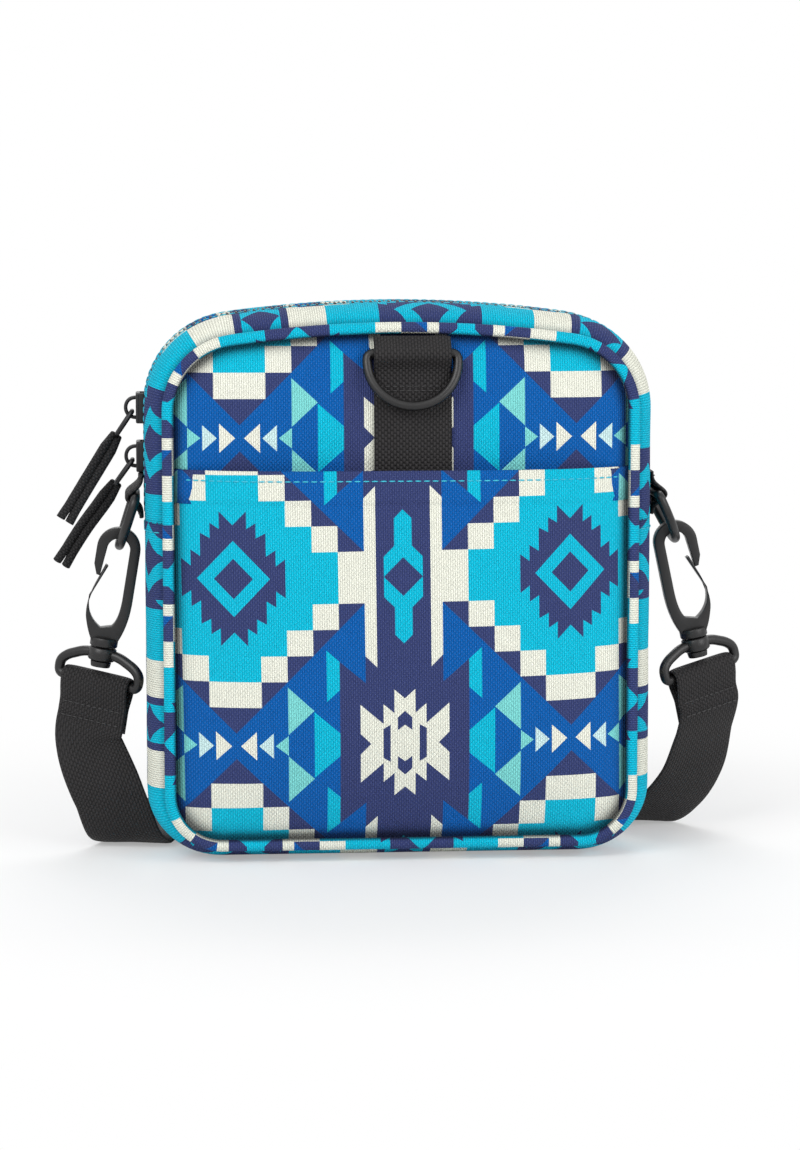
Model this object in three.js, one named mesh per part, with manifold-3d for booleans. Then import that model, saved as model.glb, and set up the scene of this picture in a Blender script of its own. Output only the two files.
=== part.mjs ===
import * as THREE from "three";
import ManifoldModule from "manifold-3d";

// Driving sizes, mm: x to the right, front towards -y, z up, origin on the floor under the middle
const webWidth = 25;
const webThick = 1.5;
const seamHalfWidth = 75.5;
const seamApex = 174;
const seamBottom = 5.6;
const seamY = 28;
const topCornerR = 23.5;
const bottomCornerR = 17;
const archR = 400;
const bulge = 7.4;
const wall = 1.8;
const fit = 0.3;
const pipingR = 1.9;
const frontCrown = 5;
const backCrown = 4;
const pocketBelly = 5.6;
const pocketMouthZ = seamApex - 45;
const sideSeamZ = seamApex - 63;
const zipHalfGap = 6.5;
const tapeThick = 0.9;
const coilHeight = 2.2;
const ringWireR = 1.55;
const ringDrop = 17.5;
const ringHalf = webWidth / 2 + 0.6 + ringWireR;
const tabBarZ = sideSeamZ + 7;
const tabBarX = seamHalfWidth + bulge + 3.1;
const frontTabX = 3;
const frontBarZ = seamApex - 8;
const hookLength = 40;
const hookThick = 4.6;
const eyeBarDrop = 11.8;
const eyeWireR = 1.7;
const eyeTurn = 28;
const loopTail = 14;
const foldNearY = 42;
const foldFarY = 172;
const foldRuns = 6;
const foldHalfSpan = seamHalfWidth + 2.5;

const deg = Math.PI / 180;
const v3 = (x, y, z) => new THREE.Vector3(x, y, z);
const wasm = await ManifoldModule();
wasm.setup();

const finish = (color, roughness, metalness = 0) =>
  new THREE.MeshStandardMaterial({ color, roughness, metalness });
const canvasBlue = finish(0x045caf, 0.85);
const canvasCyan = finish(0x04c0de, 0.85);
const canvasNavy = finish(0x314776, 0.85);
const webbing = finish(0x2a2829, 0.8);
const plastic = finish(0x1c1b1c, 0.35);
const zipBlack = finish(0x1a191a, 0.6);
const zipMetal = finish(0x202023, 0.3, 0.6);

const group = new THREE.Group();
group.name = "crossbody_bag";

function add(name, geometry, material) {
  const mesh = new THREE.Mesh(geometry, material);
  mesh.name = name;
  group.add(mesh);
  return mesh;
}

function solid(points, faces) {
  let volume = 0;
  for (const [a, b, c] of faces) {
    volume += points[a].dot(points[b].clone().cross(points[c]));
  }
  const flat = [];
  for (const [a, b, c] of faces) {
    flat.push(...(volume < 0 ? [a, c, b] : [a, b, c]));
  }
  const geometry = new THREE.BufferGeometry();
  const list = points.flatMap((p) => p.toArray());
  geometry.setAttribute("position", new THREE.Float32BufferAttribute(list, 3));
  geometry.setIndex(flat);
  geometry.computeVertexNormals();
  return geometry;
}

// Skins a row of closed sections of equal count; open rows are capped by pairing a section's two halves
function loft(sections, closed = false) {
  const n = sections[0].length;
  const points = sections.flat();
  const faces = [];
  const last = closed ? sections.length : sections.length - 1;
  for (let i = 0; i < last; i += 1) {
    const a = i * n;
    const b = ((i + 1) % sections.length) * n;
    for (let k = 0; k < n; k += 1) {
      const m = (k + 1) % n;
      faces.push([a + k, a + m, b + m], [a + k, b + m, b + k]);
    }
  }
  const cap = (base, flip) => {
    for (let k = 0; k < n / 2 - 1; k += 1) {
      const quad = [base + k, base + k + 1, base + n - 2 - k, base + n - 1 - k];
      if (flip) quad.reverse();
      faces.push([quad[2], quad[1], quad[0]], [quad[3], quad[2], quad[0]]);
    }
  };
  if (!closed) {
    cap(0, false);
    cap((sections.length - 1) * n, true);
  }
  return solid(points, faces);
}

// A round wire along a path lying in the plane of the given normal
function wire(path, radius, normal, closed, sides = 8) {
  const count = path.length;
  const sections = path.map((p, i) => {
    const before = path[closed ? (i + count - 1) % count : Math.max(i - 1, 0)];
    const after = path[closed ? (i + 1) % count : Math.min(i + 1, count - 1)];
    const along = after.clone().sub(before).normalize();
    const across = along.clone().cross(normal).normalize();
    const ring = [];
    for (let k = 0; k < sides; k += 1) {
      const t = (2 * Math.PI * (k + 0.5)) / sides;
      const spot = p.clone().addScaledVector(across, radius * Math.cos(t));
      ring.push(spot.addScaledVector(normal, radius * Math.sin(t)));
    }
    return ring;
  });
  return loft(sections, closed);
}

function toManifold(geometry) {
  const position = geometry.attributes.position;
  const mesh = new wasm.Mesh({
    numProp: 3,
    vertProperties: Float32Array.from(position.array),
    triVerts: Uint32Array.from(geometry.index ? geometry.index.array : [...Array(position.count).keys()]),
  });
  mesh.merge();
  return new wasm.Manifold(mesh);
}

function fromManifold(body) {
  const mesh = body.getMesh();
  const geometry = new THREE.BufferGeometry();
  geometry.setAttribute("position", new THREE.BufferAttribute(Float32Array.from(mesh.vertProperties), 3));
  geometry.setIndex([...mesh.triVerts]);
  geometry.computeVertexNormals();
  return geometry;
}

const join = (parts) => fromManifold(parts.map(toManifold).reduce((a, b) => a.add(b)));
const cut = (part, tool) => fromManifold(toManifold(part).subtract(toManifold(tool)));

function turned(geometry, place) {
  const moved = geometry.clone();
  moved.applyMatrix4(place);
  return moved;
}

// Seam outline in the xz plane, each point with its outward normal
const cornerX = seamHalfWidth - topCornerR;
const archCos = cornerX / (archR - topCornerR);
const archTurn = Math.acos(archCos);
const topCornerZ = seamApex - archR + (archR - topCornerR) * Math.sin(archTurn);
const lowCornerX = seamHalfWidth - bottomCornerR;
const lowCornerZ = seamBottom + bottomCornerR;

function arc(cx, cz, r, from, to, steps) {
  const list = [];
  for (let i = 0; i <= steps; i += 1) {
    const t = from + ((to - from) * i) / steps;
    list.push({ x: cx + r * Math.cos(t), z: cz + r * Math.sin(t), nx: Math.cos(t), nz: Math.sin(t) });
  }
  return list;
}

function upperPath(startZ) {
  const left = { x: -seamHalfWidth, z: startZ, nx: -1, nz: 0 };
  const right = { x: seamHalfWidth, z: startZ, nx: 1, nz: 0 };
  const arch = arc(0, seamApex - archR, archR, Math.PI - archTurn, archTurn, 8);
  return [
    left,
    ...arc(-cornerX, topCornerZ, topCornerR, Math.PI, Math.PI - archTurn, 8),
    ...arch.slice(1, -1),
    ...arc(cornerX, topCornerZ, topCornerR, archTurn, 0, 8),
    right,
  ];
}

function lowerPath(startZ) {
  return [
    { x: seamHalfWidth, z: startZ, nx: 1, nz: 0 },
    ...arc(lowCornerX, lowCornerZ, bottomCornerR, 0, -Math.PI / 2, 6),
    { x: 0, z: seamBottom, nx: 0, nz: -1 },
    ...arc(-lowCornerX, lowCornerZ, bottomCornerR, -Math.PI / 2, -Math.PI, 6),
    { x: -seamHalfWidth, z: startZ, nx: -1, nz: 0 },
  ];
}

const outline = [...upperPath(sideSeamZ), ...lowerPath(sideSeamZ).slice(1, -1)];

// Panels: a crown that falls to the seam, measured by how far a point lies from the middle towards the edge
const panelInset = pipingR + fit + 0.05;
const panelMidZ = seamApex - 84;
const panelEdge = outline.map((p) => ({ x: p.x - panelInset * p.nx, z: p.z - panelInset * p.nz }));

function edgeShare(x, z) {
  const dx = x;
  const dz = z - panelMidZ;
  let far = 1e9;
  for (let i = 0; i < panelEdge.length; i += 1) {
    const a = panelEdge[i];
    const b = panelEdge[(i + 1) % panelEdge.length];
    const ex = b.x - a.x;
    const ez = b.z - a.z;
    const cross = dx * ez - dz * ex;
    if (Math.abs(cross) < 1e-9) continue;
    const t = (a.x * ez - (a.z - panelMidZ) * ex) / cross;
    const u = (a.x * dz - (a.z - panelMidZ) * dx) / cross;
    if (t > 0 && u >= -1e-9 && u <= 1 + 1e-9) far = Math.min(far, t);
  }
  return 1 / far;
}

const swell = (share) => 1 - share ** 4;
const frontFace = (x, z) => -(seamY + fit + frontCrown * swell(edgeShare(x, z)));

function panel(side, crown) {
  const shares = [1, 0.95, 0.88, 0.78, 0.64, 0.44, 0.22];
  const n = panelEdge.length;
  const points = [];
  const faces = [];
  for (const inner of [0, wall]) {
    for (const share of shares) {
      const y = side * (seamY + fit + crown * swell(share) - inner);
      for (const p of panelEdge) {
        points.push(v3(p.x * share, y, panelMidZ + (p.z - panelMidZ) * share));
      }
    }
    points.push(v3(0, side * (seamY + fit + crown - inner), panelMidZ));
  }
  const sheet = shares.length * n + 1;
  for (const [base, flip] of [[0, false], [sheet, true]]) {
    for (let r = 0; r < shares.length; r += 1) {
      for (let k = 0; k < n; k += 1) {
        const m = (k + 1) % n;
        const a = base + r * n;
        const list = r === shares.length - 1
          ? [[a + k, a + m, base + sheet - 1]]
          : [[a + k, a + m, a + n + m], [a + k, a + n + m, a + n + k]];
        faces.push(...list.map((f) => (flip ? [f[0], f[2], f[1]] : f)));
      }
    }
  }
  for (let k = 0; k < n; k += 1) {
    const m = (k + 1) % n;
    faces.push([k, sheet + k, sheet + m], [k, sheet + m, m]);
  }
  return solid(points, faces);
}

add("front_panel", panel(-1, frontCrown), canvasBlue);
add("back_panel", panel(1, backCrown), canvasBlue);

// Slip pocket: rows across the lower panel, standing off it in the middle, with a doubled hem at the mouth
function pocket() {
  const halfWidth = (z) => {
    const r = bottomCornerR - panelInset;
    const drop = lowCornerZ - z;
    return drop <= 0 ? lowCornerX + r : lowCornerX + Math.sqrt(Math.max(r * r - drop * drop, 0));
  };
  const low = seamBottom + panelInset;
  const hem = 10;
  const rows = [low, low + 1, low + 3.5, low + 8, lowCornerZ];
  const rise = pocketMouthZ - hem - lowCornerZ;
  for (const t of [0.14, 0.3, 0.5, 0.68, 0.85, 1]) rows.push(lowCornerZ + rise * t);
  const levels = [...rows.map((z) => [z, 1.3]), [pocketMouthZ - hem + 0.4, 2.1], [pocketMouthZ, 2.1]];
  const columns = 12;
  const sections = levels.map(([z, thick]) => {
    const outer = [];
    const inner = [];
    for (let k = 0; k <= columns; k += 1) {
      const t = Math.sin((Math.PI / 2) * ((2 * k) / columns - 1));
      const x = t * halfWidth(z);
      const lift = pocketBelly * swell(Math.min(edgeShare(x, z), 1));
      const y = frontFace(x, z) - fit - lift;
      outer.push(v3(x, y - thick, z));
      inner.push(v3(x, y, z));
    }
    return [...outer, ...inner.reverse()];
  });
  return loft(sections);
}
add("front_pocket", pocket(), canvasCyan);

// Piping cords run round both seams
for (const [name, side] of [["front_piping", -1], ["back_piping", 1]]) {
  const path = outline.map((p) => v3(p.x, side * seamY, p.z));
  add(name, wire(path, pipingR, v3(0, 1, 0), true, 8), canvasNavy);
}

// Gussets: a bulged band section (depth y, height above the seam) carried along the outline
const baseShare = seamBottom / bulge;
const shrink = (p) => 1 - (1 - baseShare) * Math.max(0, -p.nz) ** 2;
const edgeY = seamY - pipingR - fit;

function band(path, profile, thick) {
  const sections = path.map((p) => {
    const share = shrink(p);
    const at = ([y, n], drop) => {
      const height = n * share - drop;
      return v3(p.x + p.nx * height, y, p.z + p.nz * height);
    };
    return [...profile.map((q) => at(q, 0)), ...[...profile].reverse().map((q) => at(q, thick))];
  });
  return loft(sections);
}

const shoulder = [[edgeY, 0.9], [edgeY - 2.2, 3.8], [edgeY - 6.2, 6.3], [edgeY - 11.5, bulge]];
const mirrored = (list) => list.map(([y, n]) => [-y, n]);
const frontStrip = [...mirrored(shoulder), [-zipHalfGap, bulge]];
const backStrip = frontStrip.map(([y, n]) => [-y, n]).reverse();
add("zip_gusset_front", band(upperPath(sideSeamZ + fit / 2), frontStrip, wall), canvasBlue);
add("zip_gusset_back", band(upperPath(sideSeamZ + fit / 2), backStrip, wall), canvasBlue);
const wholeBand = [...mirrored(shoulder), ...[...shoulder].reverse()];
add("lower_gusset", band(lowerPath(sideSeamZ - fit / 2), wholeBand, wall), canvasCyan);

// Zip: two tapes under the strips, two coil rows with a slit where the slider's neck runs
const tapeTop = bulge - wall - fit;
const slit = 0.6;
const tape = [[-zipHalfGap - 5, tapeTop], [-slit, tapeTop]];
const coilTop = tapeTop + fit + coilHeight;
const coil = [[-3.1, coilTop - 0.5], [-2.4, coilTop], [-1.2, coilTop], [-slit, coilTop - 0.5]];
const flipped = (list) => list.map(([y, n]) => [-y, n]).reverse();
const tabTop = tabBarZ + 7.5;
add("zipper_tape_front", band(upperPath(sideSeamZ + fit / 2), tape, tapeThick), zipBlack);
add("zipper_tape_back", band(upperPath(sideSeamZ + fit / 2), flipped(tape), tapeThick), zipBlack);

function coilRow(profile) {
  const sections = upperPath(tabTop + 0.5).map((p) => {
    const at = (y, n) => v3(p.x + p.nx * n, y, p.z + p.nz * n);
    const top = profile.map(([y, n]) => at(y, n));
    return [...top, ...[...profile].reverse().map(([y]) => at(y, tapeTop + fit))];
  });
  return loft(sections);
}
add("zipper_coil_front", coilRow(coil), zipBlack);
add("zipper_coil_back", coilRow(flipped(coil)), zipBlack);

// A webbing strip: inner points along a path, thickened outwards and run across the width
function strip(inner, outward, across, width) {
  const outer = inner.map((p, i) => {
    const after = inner[Math.min(i + 1, inner.length - 1)];
    const along = after.clone().sub(inner[Math.max(i - 1, 0)]).normalize();
    const lift = along.clone().cross(across).normalize();
    if (lift.dot(outward) < 0) lift.negate();
    return p.clone().addScaledVector(lift, webThick);
  });
  const ring = [...outer, ...[...inner].reverse()];
  const half = across.clone().multiplyScalar(width / 2);
  return loft([ring.map((p) => p.clone().sub(half)), ring.map((p) => p.clone().add(half))]);
}

const hump = (d, reach) => Math.exp(-((d / reach) ** 2));
const frontBarY = frontFace(frontTabX, frontBarZ) - 0.4 - ringWireR;

function frontStripPath() {
  const rise = frontFace(frontTabX, frontBarZ) - fit - (frontBarY - ringWireR - 0.7);
  const steps = [5.2, 3.6, 2.2, 1, 0, -1, -2.2, -3.8, -5.6, -9, -14, -21, -30, -38, -46];
  return steps.map((d) => {
    const z = frontBarZ + d;
    return v3(frontTabX, frontFace(frontTabX, z) - fit - rise * hump(d, 3.6), z);
  });
}
add("front_webbing", strip(frontStripPath(), v3(0, -1, 0), v3(1, 0, 0), webWidth), webbing);

for (const [name, side] of [["left_tab", -1], ["right_tab", 1]]) {
  const foot = seamHalfWidth + bulge + fit;
  const rise = tabBarX + ringWireR + 0.4 - foot;
  const steps = [-6.5, -5, -3.6, -2.4, -1.2, 0, 1.2, 2.4, 3.6, 5, 7.5];
  const path = steps.map((d) => v3(side * (foot + rise * hump(d, 3.1)), 0, tabBarZ + d));
  add(name, strip(path, v3(side, 0, 0), v3(0, 1, 0), webWidth), webbing);
}

// D-ring: bar along +x at the origin, bow hanging towards -z
function dRing() {
  const legs = ringDrop - ringHalf;
  const path = [v3(-ringHalf, 0, 0), v3(0, 0, 0), v3(ringHalf, 0, 0)];
  for (let i = 0; i <= 10; i += 1) {
    const t = (Math.PI * i) / 10;
    path.push(v3(ringHalf * Math.cos(t), 0, -legs - ringHalf * Math.sin(t)));
  }
  return wire(path, ringWireR, v3(0, 1, 0), true, 8);
}

const move = (x, y, z) => new THREE.Matrix4().makeTranslation(x, y, z);
const aboutX = (a) => new THREE.Matrix4().makeRotationX(a * deg);
const aboutY = (a) => new THREE.Matrix4().makeRotationY(a * deg);
const aboutZ = (a) => new THREE.Matrix4().makeRotationZ(a * deg);
const chain = (...list) => list.reduce((a, b) => a.clone().multiply(b), new THREE.Matrix4());

const frontRingLean = 19;
const frontHang = chain(move(frontTabX, frontBarY, frontBarZ), aboutX(-frontRingLean));
add("front_ring", turned(dRing(), frontHang), plastic);

// Snap hook in the xz plane: seat at the origin, stem towards -x, nose and gate towards +x
const bowHalf = 7.2;
const stemWidth = 3.2;
const collarR = 4.6;
const studR = 2.2;
const eyeCollar = 4.4;

function snapHook() {
  const bowZ = hookLength - bowHalf;
  const inner = bowHalf - stemWidth - 0.2;
  const shape = new THREE.Shape();
  shape.moveTo(-3.4, 0.4);
  shape.quadraticCurveTo(-bowHalf - 0.1, 7, -bowHalf, 17);
  shape.lineTo(-bowHalf, bowZ);
  shape.absarc(0, bowZ, bowHalf, Math.PI, 0, true);
  shape.lineTo(bowHalf, hookLength - 13);
  shape.lineTo(bowHalf - 1.2, hookLength - 16.4);
  shape.lineTo(bowHalf - 2.4, hookLength - 16.6);
  shape.lineTo(inner, bowZ);
  shape.absarc(0, bowZ - 0.2, inner, 0, Math.PI, false);
  shape.lineTo(-inner, 17);
  shape.quadraticCurveTo(-inner, 9.5, -1.6, 7.2);
  shape.lineTo(2, 6.2);
  shape.quadraticCurveTo(bowHalf + 0.2, 9.5, bowHalf - 0.2, 16);
  shape.lineTo(inner - 1.3, hookLength - 13.2);
  shape.lineTo(inner - 0.4, hookLength - 12.8);
  shape.lineTo(bowHalf - 2.1, hookLength - 17.6);
  shape.quadraticCurveTo(bowHalf + 1.6, 13, bowHalf - 0.4, 7.6);
  shape.quadraticCurveTo(5.4, 3, 3.4, 0.4);
  const plate = new THREE.ExtrudeGeometry(shape, { depth: hookThick, bevelEnabled: false, curveSegments: 8 });
  plate.deleteAttribute("normal");
  plate.deleteAttribute("uv");
  const body = turned(plate, chain(aboutX(90), move(0, 0, -hookThick / 2)));
  const head = eyeCollar + 2 * fit;
  const collar = new THREE.CylinderGeometry(collarR, collarR, 3, 20);
  const stud = new THREE.CylinderGeometry(studR, studR, head + 1.5, 16);
  const knob = new THREE.CylinderGeometry(studR + 0.4, studR + 1.1, 2, 16);
  const parts = [
    body,
    turned(collar, chain(move(0, 0, 1.5), aboutX(90))),
    turned(stud, chain(move(0, 0, 0.75 - head / 2), aboutX(90))),
    turned(knob, chain(move(0, 0, -head - 1), aboutX(-90))),
  ];
  const slot = turned(new THREE.BoxGeometry(0.8, 8, 4.4), move(0, 0, -head - 1));
  return cut(join(parts), slot);
}

// Eye: a collar on the stud and a flared loop whose bar carries the webbing
function swivelEye() {
  const half = webWidth / 2 + 0.7 + eyeWireR;
  const shoulderZ = -fit - eyeCollar / 2;
  const path = [v3(-half, 0, -eyeBarDrop), v3(0, 0, -eyeBarDrop), v3(half, 0, -eyeBarDrop)];
  for (const side of [1, -1]) {
    const leg = [
      v3(side * half, 0, -eyeBarDrop + 3.6),
      v3(side * (half - 1.1), 0, -eyeBarDrop + 6.2),
      v3(side * 6.2, 0, shoulderZ),
    ];
    path.push(...(side > 0 ? leg : leg.reverse()));
  }
  const loop = wire(path, eyeWireR, v3(0, 1, 0), true, 8);
  const upright = chain(move(0, 0, shoulderZ), aboutX(90));
  const drum = turned(new THREE.CylinderGeometry(collarR, collarR, eyeCollar, 20), upright);
  const bore = turned(new THREE.CylinderGeometry(studR + fit, studR + fit, eyeCollar + 4, 20), upright);
  return cut(join([loop, drum]), bore);
}

// Sewn webbing loop round the eye's bar, bar along x at the origin, tail towards -z
function webLoop() {
  const hole = eyeWireR + fit;
  const outer = hole + webThick;
  const shape = new THREE.Shape();
  shape.absarc(0, 0, outer, 0, Math.PI, false);
  shape.lineTo(-outer, -1.5);
  shape.lineTo(-webThick - 0.1, -7);
  shape.lineTo(-webThick - 0.1, -loopTail);
  shape.lineTo(webThick + 0.1, -loopTail);
  shape.lineTo(webThick + 0.1, -7);
  shape.lineTo(outer, -1.5);
  const bore = new THREE.Path();
  bore.absarc(0, 0, hole, 0, 2 * Math.PI, true);
  shape.holes.push(bore);
  const block = new THREE.ExtrudeGeometry(shape, { depth: webWidth, bevelEnabled: false, curveSegments: 8 });
  block.deleteAttribute("normal");
  block.deleteAttribute("uv");
  return turned(block, chain(aboutZ(90), aboutX(90), move(0, 0, -webWidth / 2)));
}

// One end of the strap: ring at the tab, hook in the ring, eye on the hook's stud, webbing on the eye.
// fall holds the strap's way to the floor: distance out from the seam, depth, height.
// Wider webbing needs a wider eye, which hangs further out from the bag's side.
const swing = 1.6 * (webWidth - 25);
const ends = [
  {
    name: "left",
    side: -1,
    ringTilt: 18 + swing,
    hookTilt: 9.5,
    fall: [[20, -4, 17], [15.5, -1, 4.6], [11.5, 7, 0], [6, 28, 0]],
  },
  {
    name: "right",
    side: 1,
    ringTilt: 25 + swing,
    hookTilt: 12,
    fall: [[25, 5, 36], [22, 14, 20], [17, 22, 8], [10.5, 30, 0.4]],
  },
];
const ringSeat = hookLength - bowHalf - 0.2 + (bowHalf - stemWidth - 0.2) - 0.8 - ringWireR;

for (const end of ends) {
  const ring = chain(move(end.side * tabBarX, 0, tabBarZ), aboutY(-end.side * end.ringTilt), aboutZ(90));
  add(`${end.name}_ring`, turned(dRing(), ring), plastic);
  const bow = v3(0, 0, -ringDrop).applyMatrix4(ring);
  const tilt = aboutY(-end.side * end.hookTilt);
  const up = v3(0, 0, 1).applyMatrix4(tilt);
  const seat = bow.clone().addScaledVector(up, -ringSeat);
  const frame = chain(move(seat.x, seat.y, seat.z), tilt);
  const face = end.side > 0 ? frame : chain(frame, aboutZ(180));
  add(`${end.name}_hook`, turned(snapHook(), face), plastic);
  const eye = chain(frame, aboutZ(end.side * eyeTurn));
  add(`${end.name}_eye`, turned(swivelEye(), eye), plastic);
  const bar = chain(eye, move(0, 0, -eyeBarDrop));
  add(`strap_${end.name}_loop`, turned(webLoop(), bar), webbing);
  end.bar = bar;
}

// Webbing laid along a row of middles, each with the direction across it
function ribbon(rows) {
  const sections = rows.map(({ at, across }, i) => {
    const after = rows[Math.min(i + 1, rows.length - 1)].at;
    const along = after.clone().sub(rows[Math.max(i - 1, 0)].at).normalize();
    const lift = along.clone().cross(across).normalize().multiplyScalar(webThick / 2);
    const half = across.clone().multiplyScalar(webWidth / 2);
    return [
      at.clone().sub(half).sub(lift),
      at.clone().add(half).sub(lift),
      at.clone().add(half).add(lift),
      at.clone().sub(half).add(lift),
    ];
  });
  return loft(sections);
}

const floorZ = webThick / 2 + 0.15;
for (const end of ends) {
  const top = v3(0, 0, -loopTail - fit).applyMatrix4(end.bar);
  const down = v3(0, 0, -1).transformDirection(end.bar);
  const turn = v3(1, 0, 0).transformDirection(end.bar);
  const curve = new THREE.CatmullRomCurve3([
    top,
    top.clone().addScaledVector(down, 6),
    ...end.fall.map(([x, y, z]) => v3(end.side * (seamHalfWidth + x), y, floorZ + z)),
    v3(end.side * foldHalfSpan, foldNearY - fit, floorZ),
  ], false, "centripetal");
  const rows = curve.getSpacedPoints(16).map((at, i) => {
    const t = Math.min(i / 8, 1);
    const across = turn.clone().lerp(v3(1, 0, 0), t).normalize();
    at.z = Math.max(at.z, floorZ);
    return { at, across };
  });
  add(`strap_${end.name}_run`, ribbon(rows), webbing);
}

// The rest of the strap lies behind the bag in flat zigzag runs: the first half of each run lies over
// the second half of the one before it
function foldedStrap() {
  const length = foldFarY - foldNearY;
  const rows = [];
  const across = v3(1, 0, 0);
  const foldR = 2;
  const lane = floorZ + webThick + 0.35;
  for (let run = 0; run < foldRuns; run += 1) {
    const ahead = run % 2 === 0;
    const last = run === foldRuns - 1 ? length : length - 2.5;
    const first = run === 0
      ? [[0, floorZ], [0.25 * length, floorZ]]
      : [[2.5, floorZ + 2 * foldR], [14, lane], [0.482 * length, lane]];
    const levels = [...first, [0.518 * length, floorZ], [0.75 * length, floorZ], [last, floorZ]];
    for (const [d, z] of levels) {
      const x = -foldHalfSpan + (2 * foldHalfSpan * (run + d / length)) / foldRuns;
      rows.push({ at: v3(x, ahead ? foldNearY + d : foldFarY - d, z), across });
    }
    if (run === foldRuns - 1) break;
    const x = -foldHalfSpan + (2 * foldHalfSpan * (run + 1)) / foldRuns;
    const tip = ahead ? foldFarY : foldNearY;
    const out = ahead ? 1 : -1;
    for (const t of [-60, 0, 60]) {
      const y = tip - out * foldR + out * foldR * Math.cos(t * deg);
      rows.push({ at: v3(x + t / 90, y, floorZ + foldR + foldR * Math.sin(t * deg)), across });
    }
  }
  return ribbon(rows);
}
add("strap_folds", foldedStrap(), webbing);

// Zip slider: track along z, outwards along -x, origin on the seam line at its middle
const sliderHalf = 5;
const wingTop = coilTop + 0.7;
const crownTop = wingTop + 1.6 + 4;

function slider() {
  const slab = (x0, x1, halfY, z0, z1) => {
    const box = new THREE.BoxGeometry(x1 - x0, 2 * halfY, z1 - z0);
    return turned(box, move(-(x0 + x1) / 2, 0, (z0 + z1) / 2));
  };
  const rail = slab(tapeTop + 0.6, wingTop + 1, 0.7, -sliderHalf, sliderHalf);
  const flange = (side) => turned(rail, move(0, side * 4.3, 0));
  const under = tapeTop - tapeThick - 0.8;
  const arch = slab(wingTop + 1, crownTop, 1.3, -3.8, 3.8);
  const body = join([
    slab(wingTop, wingTop + 1.6, 5, -sliderHalf, sliderHalf),
    flange(-1),
    flange(1),
    slab(under - 1.2, under, 4.4, -sliderHalf, sliderHalf),
    slab(under - 0.4, wingTop + 0.4, 0.32, -1.6, 1.6),
    arch,
  ]);
  return cut(body, slab(wingTop + 1.7, crownTop - 1.3, 3, -2.5, 2.5));
}

const upperSliderZ = topCornerZ;
const lowerSliderZ = tabTop + 0.4 + sliderHalf;
const pullWireR = 0.75;
const pullLength = 9.5;
const pullX = -(seamHalfWidth + wingTop + 1.7 + pullWireR + 0.35);

// Pull ring: top bar along y at the origin, hanging towards -z
function pullRing() {
  const half = 3;
  const path = [v3(0, -half, 0), v3(0, 0, 0), v3(0, half, 0)];
  for (const side of [1, -1]) {
    const leg = [
      v3(0, side * (half + 0.3), -pullLength * 0.5),
      v3(0, side * (half - 0.4), -pullLength + 0.8),
      v3(0, side * (half - 1.6), -pullLength),
    ];
    path.push(...(side > 0 ? leg : leg.reverse()));
  }
  return wire(path, pullWireR, v3(1, 0, 0), true, 8);
}

// Knitted pull tape: a flat oval run from the ring to its cut end
function pullCord(points) {
  const curve = new THREE.CatmullRomCurve3(points, false, "centripetal");
  const flat = v3(0, 1, 0);
  const sections = curve.getSpacedPoints(8).map((p, i) => {
    const along = curve.getTangentAt(i / 8);
    const wide = along.clone().cross(flat).normalize();
    const thin = wide.clone().cross(along).normalize();
    const ring = [];
    for (let k = 0; k < 8; k += 1) {
      const t = ((k + 0.5) * Math.PI) / 4;
      const spot = p.clone().addScaledVector(wide, 3.1 * Math.cos(t));
      ring.push(spot.addScaledVector(thin, 1.5 * Math.sin(t)));
    }
    return ring;
  });
  return loft(sections);
}

const pulls = [
  { name: "upper", z: upperSliderZ, lean: 34, run: [[-4.5, -5, -7], [-10.5, -8.5, -16.5], [-17, -11, -27]] },
  { name: "lower", z: lowerSliderZ, lean: 36, run: [[-5, 4.5, -7.5], [-11, 9, -16], [-18.5, 11.5, -28]] },
];
for (const pull of pulls) {
  add(`${pull.name}_slider`, turned(slider(), move(-seamHalfWidth, 0, pull.z)), zipMetal);
  const hang = chain(move(pullX, 0, pull.z - 1.3), aboutY(pull.lean));
  add(`${pull.name}_pull`, turned(pullRing(), hang), zipMetal);
  const start = v3(0, 0, -pullLength - pullWireR - 2.6 * fit).applyMatrix4(hang);
  const points = [start, ...pull.run.map(([x, y, z]) => start.clone().add(v3(x, y, z)))];
  add(`${pull.name}_pull_cord`, pullCord(points), webbing);
}

export default group;
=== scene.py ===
import math
import bpy
import bmesh
from mathutils import Matrix, Vector, noise


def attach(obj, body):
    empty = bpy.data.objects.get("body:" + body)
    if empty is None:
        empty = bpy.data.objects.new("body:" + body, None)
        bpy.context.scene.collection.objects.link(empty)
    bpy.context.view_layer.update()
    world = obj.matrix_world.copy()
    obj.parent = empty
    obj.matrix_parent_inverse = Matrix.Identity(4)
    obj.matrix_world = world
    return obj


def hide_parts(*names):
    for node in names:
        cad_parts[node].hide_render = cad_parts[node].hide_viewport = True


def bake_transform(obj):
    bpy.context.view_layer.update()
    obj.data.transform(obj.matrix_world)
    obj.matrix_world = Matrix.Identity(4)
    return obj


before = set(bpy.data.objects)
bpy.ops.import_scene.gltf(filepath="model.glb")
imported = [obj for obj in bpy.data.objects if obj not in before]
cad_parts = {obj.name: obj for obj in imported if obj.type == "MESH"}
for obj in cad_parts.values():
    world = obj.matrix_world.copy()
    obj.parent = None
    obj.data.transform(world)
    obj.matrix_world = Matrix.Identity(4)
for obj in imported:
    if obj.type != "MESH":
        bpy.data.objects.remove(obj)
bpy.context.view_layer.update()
mm = 0.001
scene = bpy.context.scene
scene.view_settings.view_transform = "Standard"

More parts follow.
